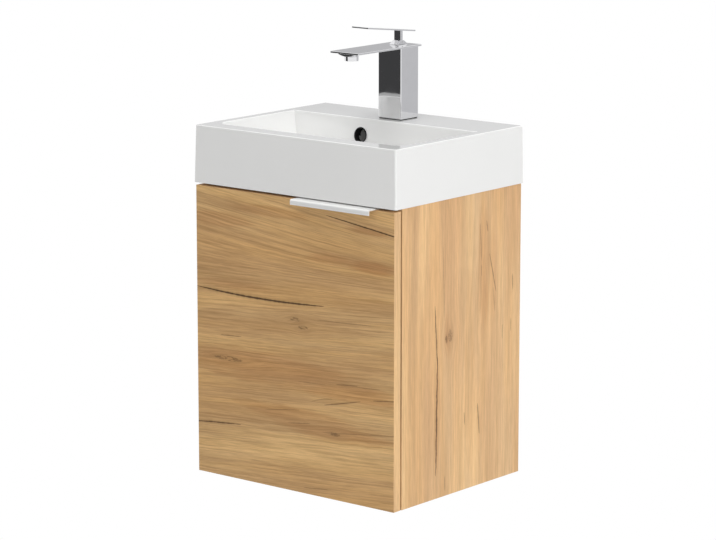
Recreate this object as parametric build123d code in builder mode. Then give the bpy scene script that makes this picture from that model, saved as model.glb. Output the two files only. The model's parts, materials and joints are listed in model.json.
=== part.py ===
from build123d import *
import os
from math import atan2, cos, degrees, hypot, radians, sin, tan

os.makedirs("parts", exist_ok=True)

# Wall-hung cloakroom vanity unit. X runs along the front, Y points at the wall and Z is up.
# The origin is on the wall, midway between the two wall plates. The front faces -Y.

# Cabinet
cabinet_width = 398.0
cabinet_height = 465.0
carcass_depth = 298.0
board = 16.0
fixing_drop = 45.0
front_rail_depth = 60.0
back_rail_height = 100.0
lower_rail_height = 70.0
rail_recess = 18.0
shelf_height = 150.0
shelf_depth = 225.0
shelf_setback = 28.0
shelf_side_gap = 0.5
shelf_pin_radius = 2.5
shelf_pin_length = 16.0
shelf_pin_seat = 8.0
shelf_pin_inset = 30.0

# Panel connectors
cam_radius = 7.5
cam_depth = 12.5
cam_setback = 24.0
cam_slot_width = 1.6
cam_slot_depth = 1.5
bolt_radius = 3.5
bolt_thread_radius = 2.5
bolt_thread_length = 11.0
dowel_radius = 4.0
dowel_length = 30.0
dowel_seat = 11.0
connector_play = 0.1
connector_spread = 32.0
bottom_cam_inset = 50.0
rail_cam_inset = 18.0
rail_connector_spread = 24.0
back_cam_rise = 24.0
back_connector_spread = 16.0

# Door and handle
door_thickness = 16.0
door_gap = 2.5
door_reveal = 0.5
door_top_gap = 4.0
handle_length = 154.0
handle_from_edge = 36.0
handle_sheet = 2.0
handle_reach = 16.5
handle_lip = 8.5
handle_roll = 3.0
handle_tail = 20.0
handle_screw_inset = 17.0
handle_screw_drop = 12.0
handle_screw_radius = 1.75
handle_screw_length = 14.0
handle_screw_head = 3.3
bumper_radius = 4.0
bumper_height = 2.2
bumper_inset = 10.0

# Concealed hinges. Places across a hinge are measured from the outer face of the left side panel and
# from the front edge of the carcass.
hinge_inset = 80.0
arm_pin_outer = (44.0, 12.0)
arm_pin_inner = (44.0, 1.25)
cup_pin_outer = (12.0, -4.67)
cup_pin_inner = (13.1, -9.06)
open_eye_shift = (0.79, 1.05)
open_eye_play = 1.45
hinge_pin_radius = 1.25
hinge_pin_play = 0.05
link_width = 2.6
link_cup_end = 2.05
link_arm_end = 3.2
open_eye_wall = 1.3
inner_link_half = 3.3
outer_link_gap = 0.7
outer_link_sheet = 2.5
link_side_play = 0.3
outer_link_bridge = 7.0
cup_radius = 17.5
cup_depth = 12.0
cup_floor = 1.0
cup_wall = 1.1
cup_notch_width = 3.6
cup_from_edge = 22.0
cup_ear = 28.0
cup_ear_back = 7.0
cup_ear_front = 15.0
cup_ear_sheet = 1.0
cup_notch_depth = 3.0
cup_screw_side = 9.5
cup_screw_up = 22.5
cup_screw_radius = 1.75
cup_screw_length = 12.0
cup_screw_head = 3.3
cup_pin_seat = 4.0
arm_sheet = 1.8
arm_length = 60.0
arm_nose_radius = 3.0
arm_tip_radius = 2.1
plate_spine_front = 24.0
plate_spine_length = 34.0
plate_spine_height = 11.0
plate_wing_width = 13.0
plate_wing_length = 46.0
plate_wing_sheet = 3.0
plate_setback = 37.0
plate_screw_spread = 32.0
plate_screw_radius = 2.5
plate_screw_length = 12.0
plate_screw_head = 4.2
plate_screw_head_height = 2.0

# Basin
basin_width = 400.0
basin_depth = 315.0
basin_height = 90.5
basin_draft = 2.2
skirt_wall = 12.0
side_rim = 16.0
front_rim = 31.0
tap_ledge = 96.0
bowl_depth = 62.0
bowl_side_lean = 13.0
bowl_back_lean = 9.0
bowl_front_radius = 22.0
bowl_back_radius = 8.0
bowl_floor_radius = 7.0
bowl_fall = 5.0
bowl_fall_radius = 72.0
ceramic = 9.0
ledge_slab = 16.0
rim_edge_radius = 1.6
skirt_corner_radius = 3.0

# Overflow
overflow_x = -42.0
overflow_drop = 27.0
overflow_ring_bore = 21.0
overflow_ring_wall = 1.4
overflow_flange = 27.0
overflow_flange_height = 1.8
overflow_sleeve = 8.0
overflow_duct_width = 34.0
overflow_duct_bore = 16.0
overflow_duct_wall = 5.0
overflow_passage_width = 20.0
overflow_passage_height = 6.5
overflow_passage_floor = 4.0
ring_play = 0.1

# Waste with its lift-up plug
waste_y = -186.0
waste_recess_depth = 3.0
waste_recess_play = 1.0
waste_boss_wall = 12.0
waste_boss_height = 17.0
waste_play = 2.0
waste_flange_radius = 32.0
waste_flange_height = 2.5
waste_dish_radius = 28.0
waste_dish_depth = 1.5
waste_tail_radius = 20.8
waste_tail_wall = 3.0
waste_tail_length = 62.0
waste_slot_width = 9.0
waste_slot_height = 6.0
waste_web_height = 4.0
waste_web_width = 3.0
seal_height = 2.0
seal_play = 0.3
lower_seal_height = 6.0
waste_nut_radius = 30.0
waste_nut_height = 12.0
plug_radius = 26.0
plug_height = 6.0
plug_edge_radius = 2.0
plug_stem_radius = 4.0
plug_stem_length = 26.0
plug_gap = 0.6
plug_guide_radius = 5.5
plug_guide_lip = 7.0
plug_guide_lip_height = 1.5
plug_guide_length = 14.0
plug_hub_radius = 8.0
plug_play = 0.05
thread_play = 0.15

# Bottle trap
trap_tube_radius = 16.0
trap_tube_wall = 1.5
trap_collar_height = 3.0
trap_nut_radius = 26.0
trap_nut_height = 18.0
trap_drop = 68.0
trap_body_radius = 30.0
trap_body_height = 40.0
trap_body_wall = 2.5
trap_neck_wall = 4.0
trap_neck_height = 8.0
trap_outlet_drop = 20.0
trap_boss_radius = 19.0
trap_boss_reach = 16.0
trap_pipe_seat = 12.0
trap_pipe_step = 0.5
trap_cup_height = 52.0
trap_cup_seat = 10.0
trap_cup_grip = 6.0
trap_dip = 14.0
trap_outlet_nut_radius = 22.0
trap_outlet_nut_length = 20.0
trap_end_gap = 1.0

# Mixer body and spout
tap_y = -59.0
tap_gasket_height = 1.5
tap_gasket_inset = 1.0
tap_width = 46.0
tap_depth = 44.0
tap_column_height = 112.7
tap_corner_radius = 1.2
tap_bore_radius = 13.5
tap_roof = 4.0
spout_width = 56.0
spout_sheet = 3.0
spout_reach = 133.7
spout_back_overhang = 1.5
spout_edge_radius = 0.8
belly_width = 36.0
belly_depth = 4.6
belly_end = 4.0
aerator_from_tip = 17.6
aerator_radius = 11.5
aerator_height = 7.0
aerator_thread_radius = 9.5
aerator_thread_length = 3.0
aerator_wall = 1.5
aerator_floor = 2.0
tap_hole_radius = 17.5
base_insert_height = 12.0
inlet_radius = 4.2
inlet_spread = 6.2
inlet_offset = 4.5
inlet_depth = 8.0
tap_stud_radius = 4.0
tap_stud_seat = 9.0
tap_stud_length = 52.0
tap_stud_offset = 7.0
tap_nut_radius = 7.5
tap_nut_height = 7.0
horseshoe_radius = 23.0
horseshoe_slot = 24.0
horseshoe_height = 3.0
horseshoe_gasket_height = 2.0
stud_play = 0.2

# Mixer cartridge, collar and lever
cartridge_radius = 12.5
cartridge_height = 36.0
cartridge_nut_height = 9.0
cartridge_nut_bore = 7.0
cartridge_play = 0.2
collar_length = 26.0
collar_width = 17.0
collar_height = 6.0
collar_top_length = 8.9
collar_top_width = 15.5
collar_gap = 0.3
collar_neck_radius = 7.6
neck_play = 0.06
stem_width = 13.0
stem_depth = 5.5
stem_below_pin = 1.8
stem_side_play = 0.25
stem_play = 0.3
stem_tail_width = 6.0
stem_tail_depth = 4.0
stem_tail = 8.0
lever_lift = 15.0
lever_length = 118.4
lever_width = 33.0
lever_sheet = 2.4
lever_tilt = 6.75
lever_back = 22.5
lever_rise = 22.0
lever_edge_radius = 0.5
lever_pivot_height = 3.6
lever_pin_radius = 1.25
lever_pin_play = 0.05

# Wall hangers
hanger_width = 14.0
hanger_height = 56.0
hanger_depth = 42.0
hanger_back = 10.0
hanger_top_gap = 3.0
hanger_sheet = 1.6
hanger_notch_play = 1.0
hanger_screw_radius = 2.0
hanger_screw_length = 12.0
hanger_screw_head = 4.0
hanger_screw_head_height = 2.0
hanger_screw_spread = 20.0
hook_width = 9.0
hook_sheet = 4.0
hook_lip = 7.0
hook_lip_sheet = 3.0
hook_drop = 36.0
hook_wall_gap = 1.0
wall_plate_width = 42.0
wall_plate_height = 60.0
wall_plate_sheet = 2.5
wall_plate_offset = 5.5
wall_plate_catch = 12.0
wall_plate_hole_radius = 3.25
wall_plate_hole_spacing = 28.0
wall_plate_side_gap = 2.0

# Levels and planes that follow from the sizes above
carcass_top = fixing_drop
carcass_bottom = carcass_top - cabinet_height
carcass_front = -carcass_depth
inner_half = cabinet_width / 2 - board
door_back = carcass_front - door_gap
door_front = door_back - door_thickness
door_top = carcass_top - door_top_gap
door_half = cabinet_width / 2 - door_reveal
basin_top = carcass_top + basin_height
bowl_half = basin_width / 2 - side_rim
bowl_back = -tap_ledge
bowl_front = front_rim - basin_depth
bowl_floor = basin_top - bowl_depth
drain_level = bowl_floor - bowl_fall
waste_seat = drain_level - waste_recess_depth
boss_bottom = waste_seat - waste_boss_height
ledge_underside = basin_top - ledge_slab

# Connector places: along each board's end, as (y, z) on the side panels
bottom_cams = (carcass_front + bottom_cam_inset, -bottom_cam_inset - connector_spread)
bottom_level = carcass_bottom + board / 2
front_rail_cam = carcass_front + rail_cam_inset
front_rail_level = carcass_top - board / 2
rail_plane = -rail_recess - board / 2
back_rail_bottom_edge = carcass_top - back_rail_height
back_rail_cam = back_rail_bottom_edge + back_cam_rise
bottom_top = carcass_bottom + board
lower_rail_cam = bottom_top + back_cam_rise
bottom_bolts = [(y, bottom_level) for y in bottom_cams]
front_rail_bolts = [(front_rail_cam, front_rail_level)]
back_rail_bolts = [(rail_plane, back_rail_cam)]
lower_rail_bolts = [(rail_plane, lower_rail_cam)]
bolt_points = bottom_bolts + front_rail_bolts + back_rail_bolts + lower_rail_bolts
bottom_dowels = [(y + connector_spread, bottom_level) for y in bottom_cams]
front_rail_dowels = [(front_rail_cam + rail_connector_spread, front_rail_level)]
back_rail_dowels = [(rail_plane, back_rail_cam - back_connector_spread)]
lower_rail_dowels = [(rail_plane, lower_rail_cam + rail_connector_spread)]
dowel_points = bottom_dowels + front_rail_dowels + back_rail_dowels + lower_rail_dowels
cam_x = inner_half - cam_setback

# Shelf and its pins
shelf_bottom = bottom_top + shelf_height
shelf_front = carcass_front + shelf_setback
shelf_back = shelf_front + shelf_depth
shelf_pin_level = shelf_bottom - shelf_pin_radius
shelf_pin_points = [
    (shelf_front + shelf_pin_inset, shelf_pin_level),
    (shelf_back - shelf_pin_inset, shelf_pin_level),
]

# Hinge places
hinge_levels = (door_top - hinge_inset, carcass_bottom + hinge_inset)
plate_y = carcass_front + plate_setback
plate_screw_points = [
    (plate_y, level + up * plate_screw_spread / 2) for level in hinge_levels for up in (-1, 1)
]

# Wall hanger places
hanger_top = carcass_top - hanger_top_gap
hanger_bottom = hanger_top - hanger_height
hanger_screw_y = -hanger_back - hanger_depth / 2
hanger_screw_points = [
    (hanger_screw_y, (hanger_top + hanger_bottom) / 2 + up * hanger_screw_spread / 2) for up in (-1, 1)
]


def hinge_place(point):
    # A place across a hinge, in the unit's own X and Y
    return (point[0] - cabinet_width / 2, point[1] + carcass_front)


def round_bores(plane, points, radius, depth):
    # Round bores into the piece that is being made, along the plane's normal
    with BuildSketch(plane) as bores:
        with Locations(*points):
            Circle(radius)
    extrude(bores.sketch, amount=depth, mode=Mode.SUBTRACT)


def round_pegs(plane, points, radius, length):
    # Round pegs that stand up along the plane's normal
    with BuildSketch(plane) as pegs:
        with Locations(*points):
            Circle(radius)
    extrude(pegs.sketch, amount=length)


def bore_ends(bolts, dowels):
    # Bolt and dowel bores along X into both ends of the board that is being made
    for side in (-1, 1):
        face = Plane.YZ.offset(side * inner_half)
        round_bores(face, bolts, bolt_radius + connector_play, -side * cam_setback)
        depth = dowel_length - dowel_seat + connector_play
        round_bores(face, dowels, dowel_radius + connector_play, -side * depth)


def cam_places(values):
    # The cams' places at both ends of a board
    return [(side * cam_x, value) for side in (-1, 1) for value in values]


def side_panel(side, hinge_bores):
    # A side panel with the bores for its bolts, dowels, shelf pins, hanger and hinge plates
    face = Plane.YZ.offset(side * inner_half)
    middle = (-carcass_depth / 2, (carcass_top + carcass_bottom) / 2)
    with BuildPart() as panel:
        with BuildSketch(face):
            with Locations(middle):
                Rectangle(carcass_depth, cabinet_height)
        extrude(amount=side * board)
        bolt_seat = side * (bolt_thread_length + connector_play)
        round_bores(face, bolt_points, bolt_thread_radius + connector_play, bolt_seat)
        seat = side * (dowel_seat + connector_play)
        round_bores(face, dowel_points, dowel_radius + connector_play, seat)
        pin_seat = side * (shelf_pin_seat + connector_play)
        round_bores(face, shelf_pin_points, shelf_pin_radius + connector_play, pin_seat)
        hanger_seat = side * (hanger_screw_length + connector_play)
        round_bores(face, hanger_screw_points, hanger_screw_radius + connector_play, hanger_seat)
        if hinge_bores:
            hinge_seat = side * (plate_screw_length + connector_play)
            round_bores(face, hinge_bores, plate_screw_radius + connector_play, hinge_seat)
    return panel


side_left = side_panel(-1, plate_screw_points)
side_left.part.label = "side_left"
export_step(side_left.part, "parts/side_left.step")

side_right = side_panel(1, [])
side_right.part.label = "side_right"
export_step(side_right.part, "parts/side_right.step")

# Bottom panel, with its cam pockets on the underside
with BuildPart() as bottom_panel:
    with BuildSketch(Plane.XY.offset(carcass_bottom)):
        with Locations((0, -carcass_depth / 2)):
            Rectangle(2 * inner_half, carcass_depth)
    extrude(amount=board)
    bore_ends(bottom_bolts, bottom_dowels)
    pocket = cam_depth + connector_play
    underside = Plane.XY.offset(carcass_bottom)
    round_bores(underside, cam_places(bottom_cams), cam_radius + connector_play, pocket)
bottom_panel.part.label = "bottom_panel"
export_step(bottom_panel.part, "parts/bottom_panel.step")

# Front rail, laid flat under the basin's front edge
with BuildPart() as front_rail:
    with BuildSketch(Plane.XY.offset(carcass_top - board)):
        with Locations((0, carcass_front + front_rail_depth / 2)):
            Rectangle(2 * inner_half, front_rail_depth)
    extrude(amount=board)
    bore_ends(front_rail_bolts, front_rail_dowels)
    rail_face = Plane.XY.offset(carcass_top - board)
    round_bores(rail_face, cam_places([front_rail_cam]), cam_radius + connector_play, pocket)
front_rail.part.label = "front_rail"
export_step(front_rail.part, "parts/front_rail.step")

# Upper back rail, on edge, notched at its top corners for the wall hangers
back_face = Plane.XZ.offset(rail_recess)
with BuildPart() as back_rail_top:
    with BuildSketch(back_face):
        with Locations((0, carcass_top - back_rail_height / 2)):
            Rectangle(2 * inner_half, back_rail_height)
        notch_width = hanger_width + hanger_notch_play
        notch_height = carcass_top - hanger_bottom + hanger_notch_play
        for side in (-1, 1):
            with Locations((side * (inner_half - notch_width / 2), carcass_top - notch_height / 2)):
                Rectangle(notch_width, notch_height, mode=Mode.SUBTRACT)
    extrude(amount=board)
    bore_ends(back_rail_bolts, back_rail_dowels)
    round_bores(back_face, cam_places([back_rail_cam]), cam_radius + connector_play, pocket)
back_rail_top.part.label = "back_rail_top"
export_step(back_rail_top.part, "parts/back_rail_top.step")

# Lower back rail, standing on the bottom panel
with BuildPart() as back_rail_bottom:
    with BuildSketch(back_face):
        with Locations((0, bottom_top + lower_rail_height / 2)):
            Rectangle(2 * inner_half, lower_rail_height)
    extrude(amount=board)
    bore_ends(lower_rail_bolts, lower_rail_dowels)
    round_bores(back_face, cam_places([lower_rail_cam]), cam_radius + connector_play, pocket)
back_rail_bottom.part.label = "back_rail_bottom"
export_step(back_rail_bottom.part, "parts/back_rail_bottom.step")

# Cams, each slotted for a screwdriver and bored for the head of its bolt
with BuildPart() as cam_locks:
    rail_cams = cam_places([back_rail_cam, lower_rail_cam])
    round_pegs(Plane.XY.offset(carcass_bottom), cam_places(bottom_cams), cam_radius, cam_depth)
    round_pegs(Plane.XY.offset(carcass_top - board), cam_places([front_rail_cam]), cam_radius, cam_depth)
    round_pegs(back_face, rail_cams, cam_radius, cam_depth)
    for side in (-1, 1):
        mouth = Plane.YZ.offset(side * (cam_x + 2 * cam_radius))
        round_bores(mouth, bolt_points, bolt_radius + connector_play, -side * 2 * cam_radius)
    with BuildSketch(Plane.XY.offset(carcass_bottom)):
        with Locations(*cam_places(bottom_cams)):
            Rectangle(cam_radius, cam_slot_width)
    extrude(amount=cam_slot_depth, mode=Mode.SUBTRACT)
    with BuildSketch(Plane.XY.offset(carcass_top - board)):
        with Locations(*cam_places([front_rail_cam])):
            Rectangle(cam_radius, cam_slot_width)
    extrude(amount=cam_slot_depth, mode=Mode.SUBTRACT)
    with BuildSketch(back_face):
        with Locations(*rail_cams):
            Rectangle(cam_radius, cam_slot_width)
    extrude(amount=cam_slot_depth, mode=Mode.SUBTRACT)
cam_locks.part.label = "cam_locks"
export_step(cam_locks.part, "parts/cam_locks.step")

# Cam bolts: a thread in the side panel and a plain shank into the cam
with BuildPart() as cam_bolts:
    for side in (-1, 1):
        face = Plane.YZ.offset(side * inner_half)
        round_pegs(face, bolt_points, bolt_thread_radius, side * bolt_thread_length)
        round_pegs(face, bolt_points, bolt_radius, -side * cam_setback)
cam_bolts.part.label = "cam_bolts"
export_step(cam_bolts.part, "parts/cam_bolts.step")

with BuildPart() as dowels:
    for side in (-1, 1):
        face = Plane.YZ.offset(side * (inner_half + dowel_seat))
        round_pegs(face, dowel_points, dowel_radius, -side * dowel_length)
dowels.part.label = "dowels"
export_step(dowels.part, "parts/dowels.step")

with BuildPart() as shelf:
    with BuildSketch(Plane.XY.offset(shelf_bottom)):
        with Locations((0, (shelf_front + shelf_back) / 2)):
            Rectangle(2 * (inner_half - shelf_side_gap), shelf_depth)
    extrude(amount=board)
shelf.part.label = "shelf"
export_step(shelf.part, "parts/shelf.step")

with BuildPart() as shelf_pins:
    for side in (-1, 1):
        face = Plane.YZ.offset(side * (inner_half + shelf_pin_seat))
        round_pegs(face, shelf_pin_points, shelf_pin_radius, -side * shelf_pin_length)
shelf_pins.part.label = "shelf_pins"
export_step(shelf_pins.part, "parts/shelf_pins.step")

# Wall hangers: a sheet housing on each side panel, open at the back, with a hook inside
hanger_x = inner_half - hanger_width / 2
hanger_middle = (-hanger_back - hanger_depth / 2, (hanger_top + hanger_bottom) / 2)
with BuildPart() as hangers:
    for side in (-1, 1):
        with BuildSketch(Plane.YZ.offset(side * inner_half)):
            with Locations(hanger_middle):
                Rectangle(hanger_depth, hanger_height)
        extrude(amount=-side * hanger_width)
        with BuildSketch(Plane.YZ.offset(side * (inner_half - hanger_sheet))):
            with Locations((hanger_middle[0] + hanger_sheet, hanger_middle[1])):
                Rectangle(hanger_depth, hanger_height - 2 * hanger_sheet)
        extrude(amount=-side * (hanger_width - 2 * hanger_sheet), mode=Mode.SUBTRACT)
        face = Plane.YZ.offset(side * inner_half)
        round_bores(face, hanger_screw_points, hanger_screw_radius + connector_play, -side * hanger_sheet)
hangers.part.label = "hangers"
export_step(hangers.part, "parts/hangers.step")

# Hooks: an upright against the housing's front wall, an arm to the wall and a lip behind the plate
wall_plate_top = wall_plate_height / 2
hook_front = -hanger_back - hanger_depth + hanger_sheet
hook_top = wall_plate_top + hook_sheet
with BuildPart() as hanger_hooks:
    for side in (-1, 1):
        with BuildSketch(Plane.YZ.offset(side * hanger_x)):
            with Locations((hook_front, wall_plate_top)):
                Rectangle(-hook_front - hook_wall_gap, hook_sheet, align=(Align.MIN, Align.MIN))
            with Locations((hook_front, hook_top - hook_drop)):
                Rectangle(hook_sheet, hook_drop, align=(Align.MIN, Align.MIN))
            with Locations((-hook_wall_gap, wall_plate_top)):
                Rectangle(hook_lip_sheet, hook_lip, align=(Align.MAX, Align.MAX))
        extrude(amount=hook_width / 2, both=True)
hanger_hooks.part.label = "hanger_hooks"
export_step(hanger_hooks.part, "parts/hanger_hooks.step")

with BuildPart() as hanger_screws:
    for side in (-1, 1):
        face = Plane.YZ.offset(side * (inner_half - hanger_sheet))
        round_pegs(face, hanger_screw_points, hanger_screw_radius, side * hanger_screw_length)
        round_pegs(face, hanger_screw_points, hanger_screw_head, -side * hanger_screw_head_height)
hanger_screws.part.label = "hanger_screws"
export_step(hanger_screws.part, "parts/hanger_screws.step")

# Wall plates: flat on the wall where they are screwed, and standing off it where the hook catches
wall_plate_x = inner_half - wall_plate_side_gap - wall_plate_width / 2
jog = wall_plate_top - wall_plate_catch
with BuildPart() as wall_plates:
    for side in (-1, 1):
        with BuildSketch(Plane.YZ.offset(side * wall_plate_x)):
            with Locations((0, -wall_plate_height / 2)):
                Rectangle(
                    wall_plate_sheet,
                    wall_plate_height / 2 + jog + wall_plate_sheet,
                    align=(Align.MAX, Align.MIN),
                )
            with Locations((0, jog)):
                Rectangle(
                    wall_plate_offset + wall_plate_sheet, wall_plate_sheet, align=(Align.MAX, Align.MIN)
                )
            with Locations((-wall_plate_offset, jog)):
                Rectangle(wall_plate_sheet, wall_plate_catch, align=(Align.MAX, Align.MIN))
        extrude(amount=wall_plate_width / 2, both=True)
        with BuildSketch(Plane.XZ):
            with Locations((side * wall_plate_x, 0)):
                with GridLocations(0, wall_plate_hole_spacing, 1, 2):
                    Circle(wall_plate_hole_radius)
        extrude(amount=wall_plate_sheet, mode=Mode.SUBTRACT)
wall_plates.part.label = "wall_plates"
export_step(wall_plates.part, "parts/wall_plates.step")

# Door, with its hinge cups' bores and the pilot holes for its screws
hinge_centre = hinge_place((cup_from_edge, 0))[0]
cup_centres = [(hinge_centre, level) for level in hinge_levels]
cup_screw_points = [
    (hinge_centre + cup_screw_side, level + up * cup_screw_up) for level in hinge_levels for up in (-1, 1)
]
handle_end = door_half - handle_from_edge
handle_middle = handle_end - handle_length / 2
handle_screw_level = door_top - handle_screw_drop
handle_screw_points = [
    (handle_middle + side * (handle_length / 2 - handle_screw_inset), handle_screw_level)
    for side in (-1, 1)
]
door_inner = Plane.XZ.offset(-door_back)
with BuildPart() as door_panel:
    with BuildSketch(door_inner):
        with Locations((0, (door_top + carcass_bottom) / 2)):
            Rectangle(2 * door_half, door_top - carcass_bottom)
    extrude(amount=door_thickness)
    round_bores(door_inner, cup_centres, cup_radius + connector_play, cup_depth + connector_play)
    round_bores(door_inner, cup_screw_points, cup_screw_radius + connector_play, cup_screw_length)
    round_bores(door_inner, handle_screw_points, handle_screw_radius + connector_play, handle_screw_length)
door_panel.part.label = "door_panel"
export_step(door_panel.part, "parts/door_panel.step")

# Handle: a bent strip over the door's top edge, its front rolled down into a finger lip
handle_top = door_top + handle_sheet
handle_back = door_back + handle_sheet
handle_front = door_front - handle_reach
inner_roll = handle_roll - handle_sheet
with BuildPart() as handle:
    with BuildSketch(Plane.YZ.offset(handle_middle)) as strip:
        with BuildLine():
            Polyline(
                (handle_front + handle_roll, handle_top),
                (handle_back, handle_top),
                (handle_back, door_top - handle_tail),
                (door_back, door_top - handle_tail),
                (door_back, door_top),
                (handle_front + handle_roll, door_top),
            )
            RadiusArc(
                (handle_front + handle_roll, door_top),
                (handle_front + handle_sheet, door_top - inner_roll),
                -inner_roll,
            )
            Polyline(
                (handle_front + handle_sheet, door_top - inner_roll),
                (handle_front + handle_sheet, handle_top - handle_lip),
                (handle_front, handle_top - handle_lip),
                (handle_front, handle_top - handle_roll),
            )
            RadiusArc(
                (handle_front, handle_top - handle_roll),
                (handle_front + handle_roll, handle_top),
                handle_roll,
            )
        make_face()
    extrude(amount=handle_length / 2, both=True)
    with Locations(*[Plane((x, handle_back, z), z_dir=(0, 1, 0)) for x, z in handle_screw_points]):
        CounterSinkHole(handle_screw_radius + connector_play, handle_screw_head, depth=handle_sheet)
handle.part.label = "handle"
export_step(handle.part, "parts/handle.step")


def countersunk_screws(points, face_y, radius, head_radius, length):
    # Screws driven towards -Y, their flat heads flush with the face
    head_height = head_radius - radius
    with BuildPart() as screws:
        round_pegs(Plane.XZ.offset(-face_y), points, radius, length)
        with BuildSketch(Plane.XZ.offset(-face_y)):
            with Locations(*points):
                Circle(head_radius - connector_play)
        extrude(amount=head_height, taper=45)
    return screws


handle_screws = countersunk_screws(
    handle_screw_points, handle_back, handle_screw_radius, handle_screw_head, handle_screw_length
)
handle_screws.part.label = "handle_screws"
export_step(handle_screws.part, "parts/handle_screws.step")

# Bumpers on the door's free corners, resting near the right side panel's front edge
bumper_x = cabinet_width / 2 - board / 2
with BuildPart() as door_bumpers:
    bumper_levels = (door_top - bumper_inset, carcass_bottom + bumper_inset)
    round_pegs(door_inner, [(bumper_x, level) for level in bumper_levels], bumper_radius, -bumper_height)
    fillet(door_bumpers.faces().sort_by(Axis.Y)[-2:].edges(), bumper_height / 3)
door_bumpers.part.label = "door_bumpers"
export_step(door_bumpers.part, "parts/door_bumpers.step")

# Heights across a hinge, from its middle: inner link, outer link's cheeks, pocket and arm's cheeks
outer_link_low = inner_link_half + outer_link_gap
outer_link_high = outer_link_low + outer_link_sheet
pocket_half = outer_link_high + link_side_play
arm_half = pocket_half + arm_sheet
arm_pins_at = [hinge_place(arm_pin_outer), hinge_place(arm_pin_inner)]
cup_pins_at = [hinge_place(cup_pin_outer), hinge_place(cup_pin_inner)]


def hinge_cup(level):
    # The cup that is pressed into the door, with two screwed ears and a pocket for the links
    with BuildPart() as cup:
        round_pegs(door_inner, [(hinge_centre, level)], cup_radius, cup_depth)
        with BuildSketch(Plane.XZ.offset(-door_back - cup_ear_sheet)):
            with Locations((hinge_centre - cup_ear_back, level)):
                Rectangle(cup_ear_back + cup_ear_front, 2 * cup_ear, align=(Align.MIN, Align.CENTER))
        extrude(amount=cup_ear_sheet)
        fillet(cup.edges().filter_by(Axis.Y), cup_ear_back / 2)
        with BuildSketch(door_inner):
            with Locations((hinge_centre, level)):
                Circle(cup_radius - cup_wall)
                Rectangle(2 * cup_radius, 2 * pocket_half, mode=Mode.INTERSECT)
        extrude(amount=cup_depth - cup_floor, mode=Mode.SUBTRACT)
        with BuildSketch(Plane.XZ.offset(-door_back - cup_ear_sheet)):
            with Locations((hinge_centre, level)):
                Rectangle(4 * cup_radius, 2 * pocket_half)
        extrude(amount=cup_ear_sheet, mode=Mode.SUBTRACT)
        with BuildSketch(door_inner):
            with Locations((hinge_centre - cup_radius, level)):
                Rectangle(2 * cup_notch_width, 2 * pocket_half)
        extrude(amount=cup_notch_depth, mode=Mode.SUBTRACT)
        for up in (-1, 1):
            seat = Plane.XY.offset(level + up * pocket_half)
            round_bores(seat, cup_pins_at, hinge_pin_radius, up * cup_pin_seat)
        ear_face = door_back + cup_ear_sheet
        for spot in (-1, 1):
            place = (hinge_centre + cup_screw_side, ear_face, level + spot * cup_screw_up)
            with Locations(Plane(place, z_dir=(0, 1, 0))):
                Hole(cup_screw_radius + connector_play, depth=cup_ear_sheet)
    return cup


upper_hinge_cup = hinge_cup(hinge_levels[0])
upper_hinge_cup.part.label = "upper_hinge_cup"
export_step(upper_hinge_cup.part, "parts/upper_hinge_cup.step")

lower_hinge_cup = hinge_cup(hinge_levels[1])
lower_hinge_cup.part.label = "lower_hinge_cup"
export_step(lower_hinge_cup.part, "parts/lower_hinge_cup.step")

with BuildPart() as cup_screws:
    ear_plane = Plane.XZ.offset(-door_back - cup_ear_sheet)
    round_pegs(ear_plane, cup_screw_points, cup_screw_radius, cup_screw_length)
    round_pegs(ear_plane, cup_screw_points, cup_screw_head, -link_side_play)
cup_screws.part.label = "cup_screws"
export_step(cup_screws.part, "parts/cup_screws.step")

# Mounting plates on the left side panel: two screwed wings and a spine that carries the arm
with BuildPart() as mounting_plates:
    spine_y = carcass_front + plate_spine_front
    for level in hinge_levels:
        with BuildSketch(Plane.YZ.offset(-inner_half)):
            with Locations((plate_y, level)):
                RectangleRounded(plate_wing_width, plate_wing_length, plate_wing_width / 3)
        extrude(amount=plate_wing_sheet)
        with BuildSketch(Plane.YZ.offset(-inner_half)):
            with Locations((spine_y, level)):
                Rectangle(plate_spine_length, 2 * outer_link_high, align=(Align.MIN, Align.CENTER))
        extrude(amount=plate_spine_height)
    face = Plane.YZ.offset(-inner_half)
    round_bores(face, plate_screw_points, plate_screw_radius + connector_play, plate_wing_sheet)
mounting_plates.part.label = "mounting_plates"
export_step(mounting_plates.part, "parts/mounting_plates.step")

with BuildPart() as plate_screws:
    face = Plane.YZ.offset(plate_wing_sheet - inner_half)
    round_pegs(face, plate_screw_points, plate_screw_radius, -plate_screw_length)
    round_pegs(face, plate_screw_points, plate_screw_head, plate_screw_head_height)
plate_screws.part.label = "plate_screws"
export_step(plate_screws.part, "parts/plate_screws.step")

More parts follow.
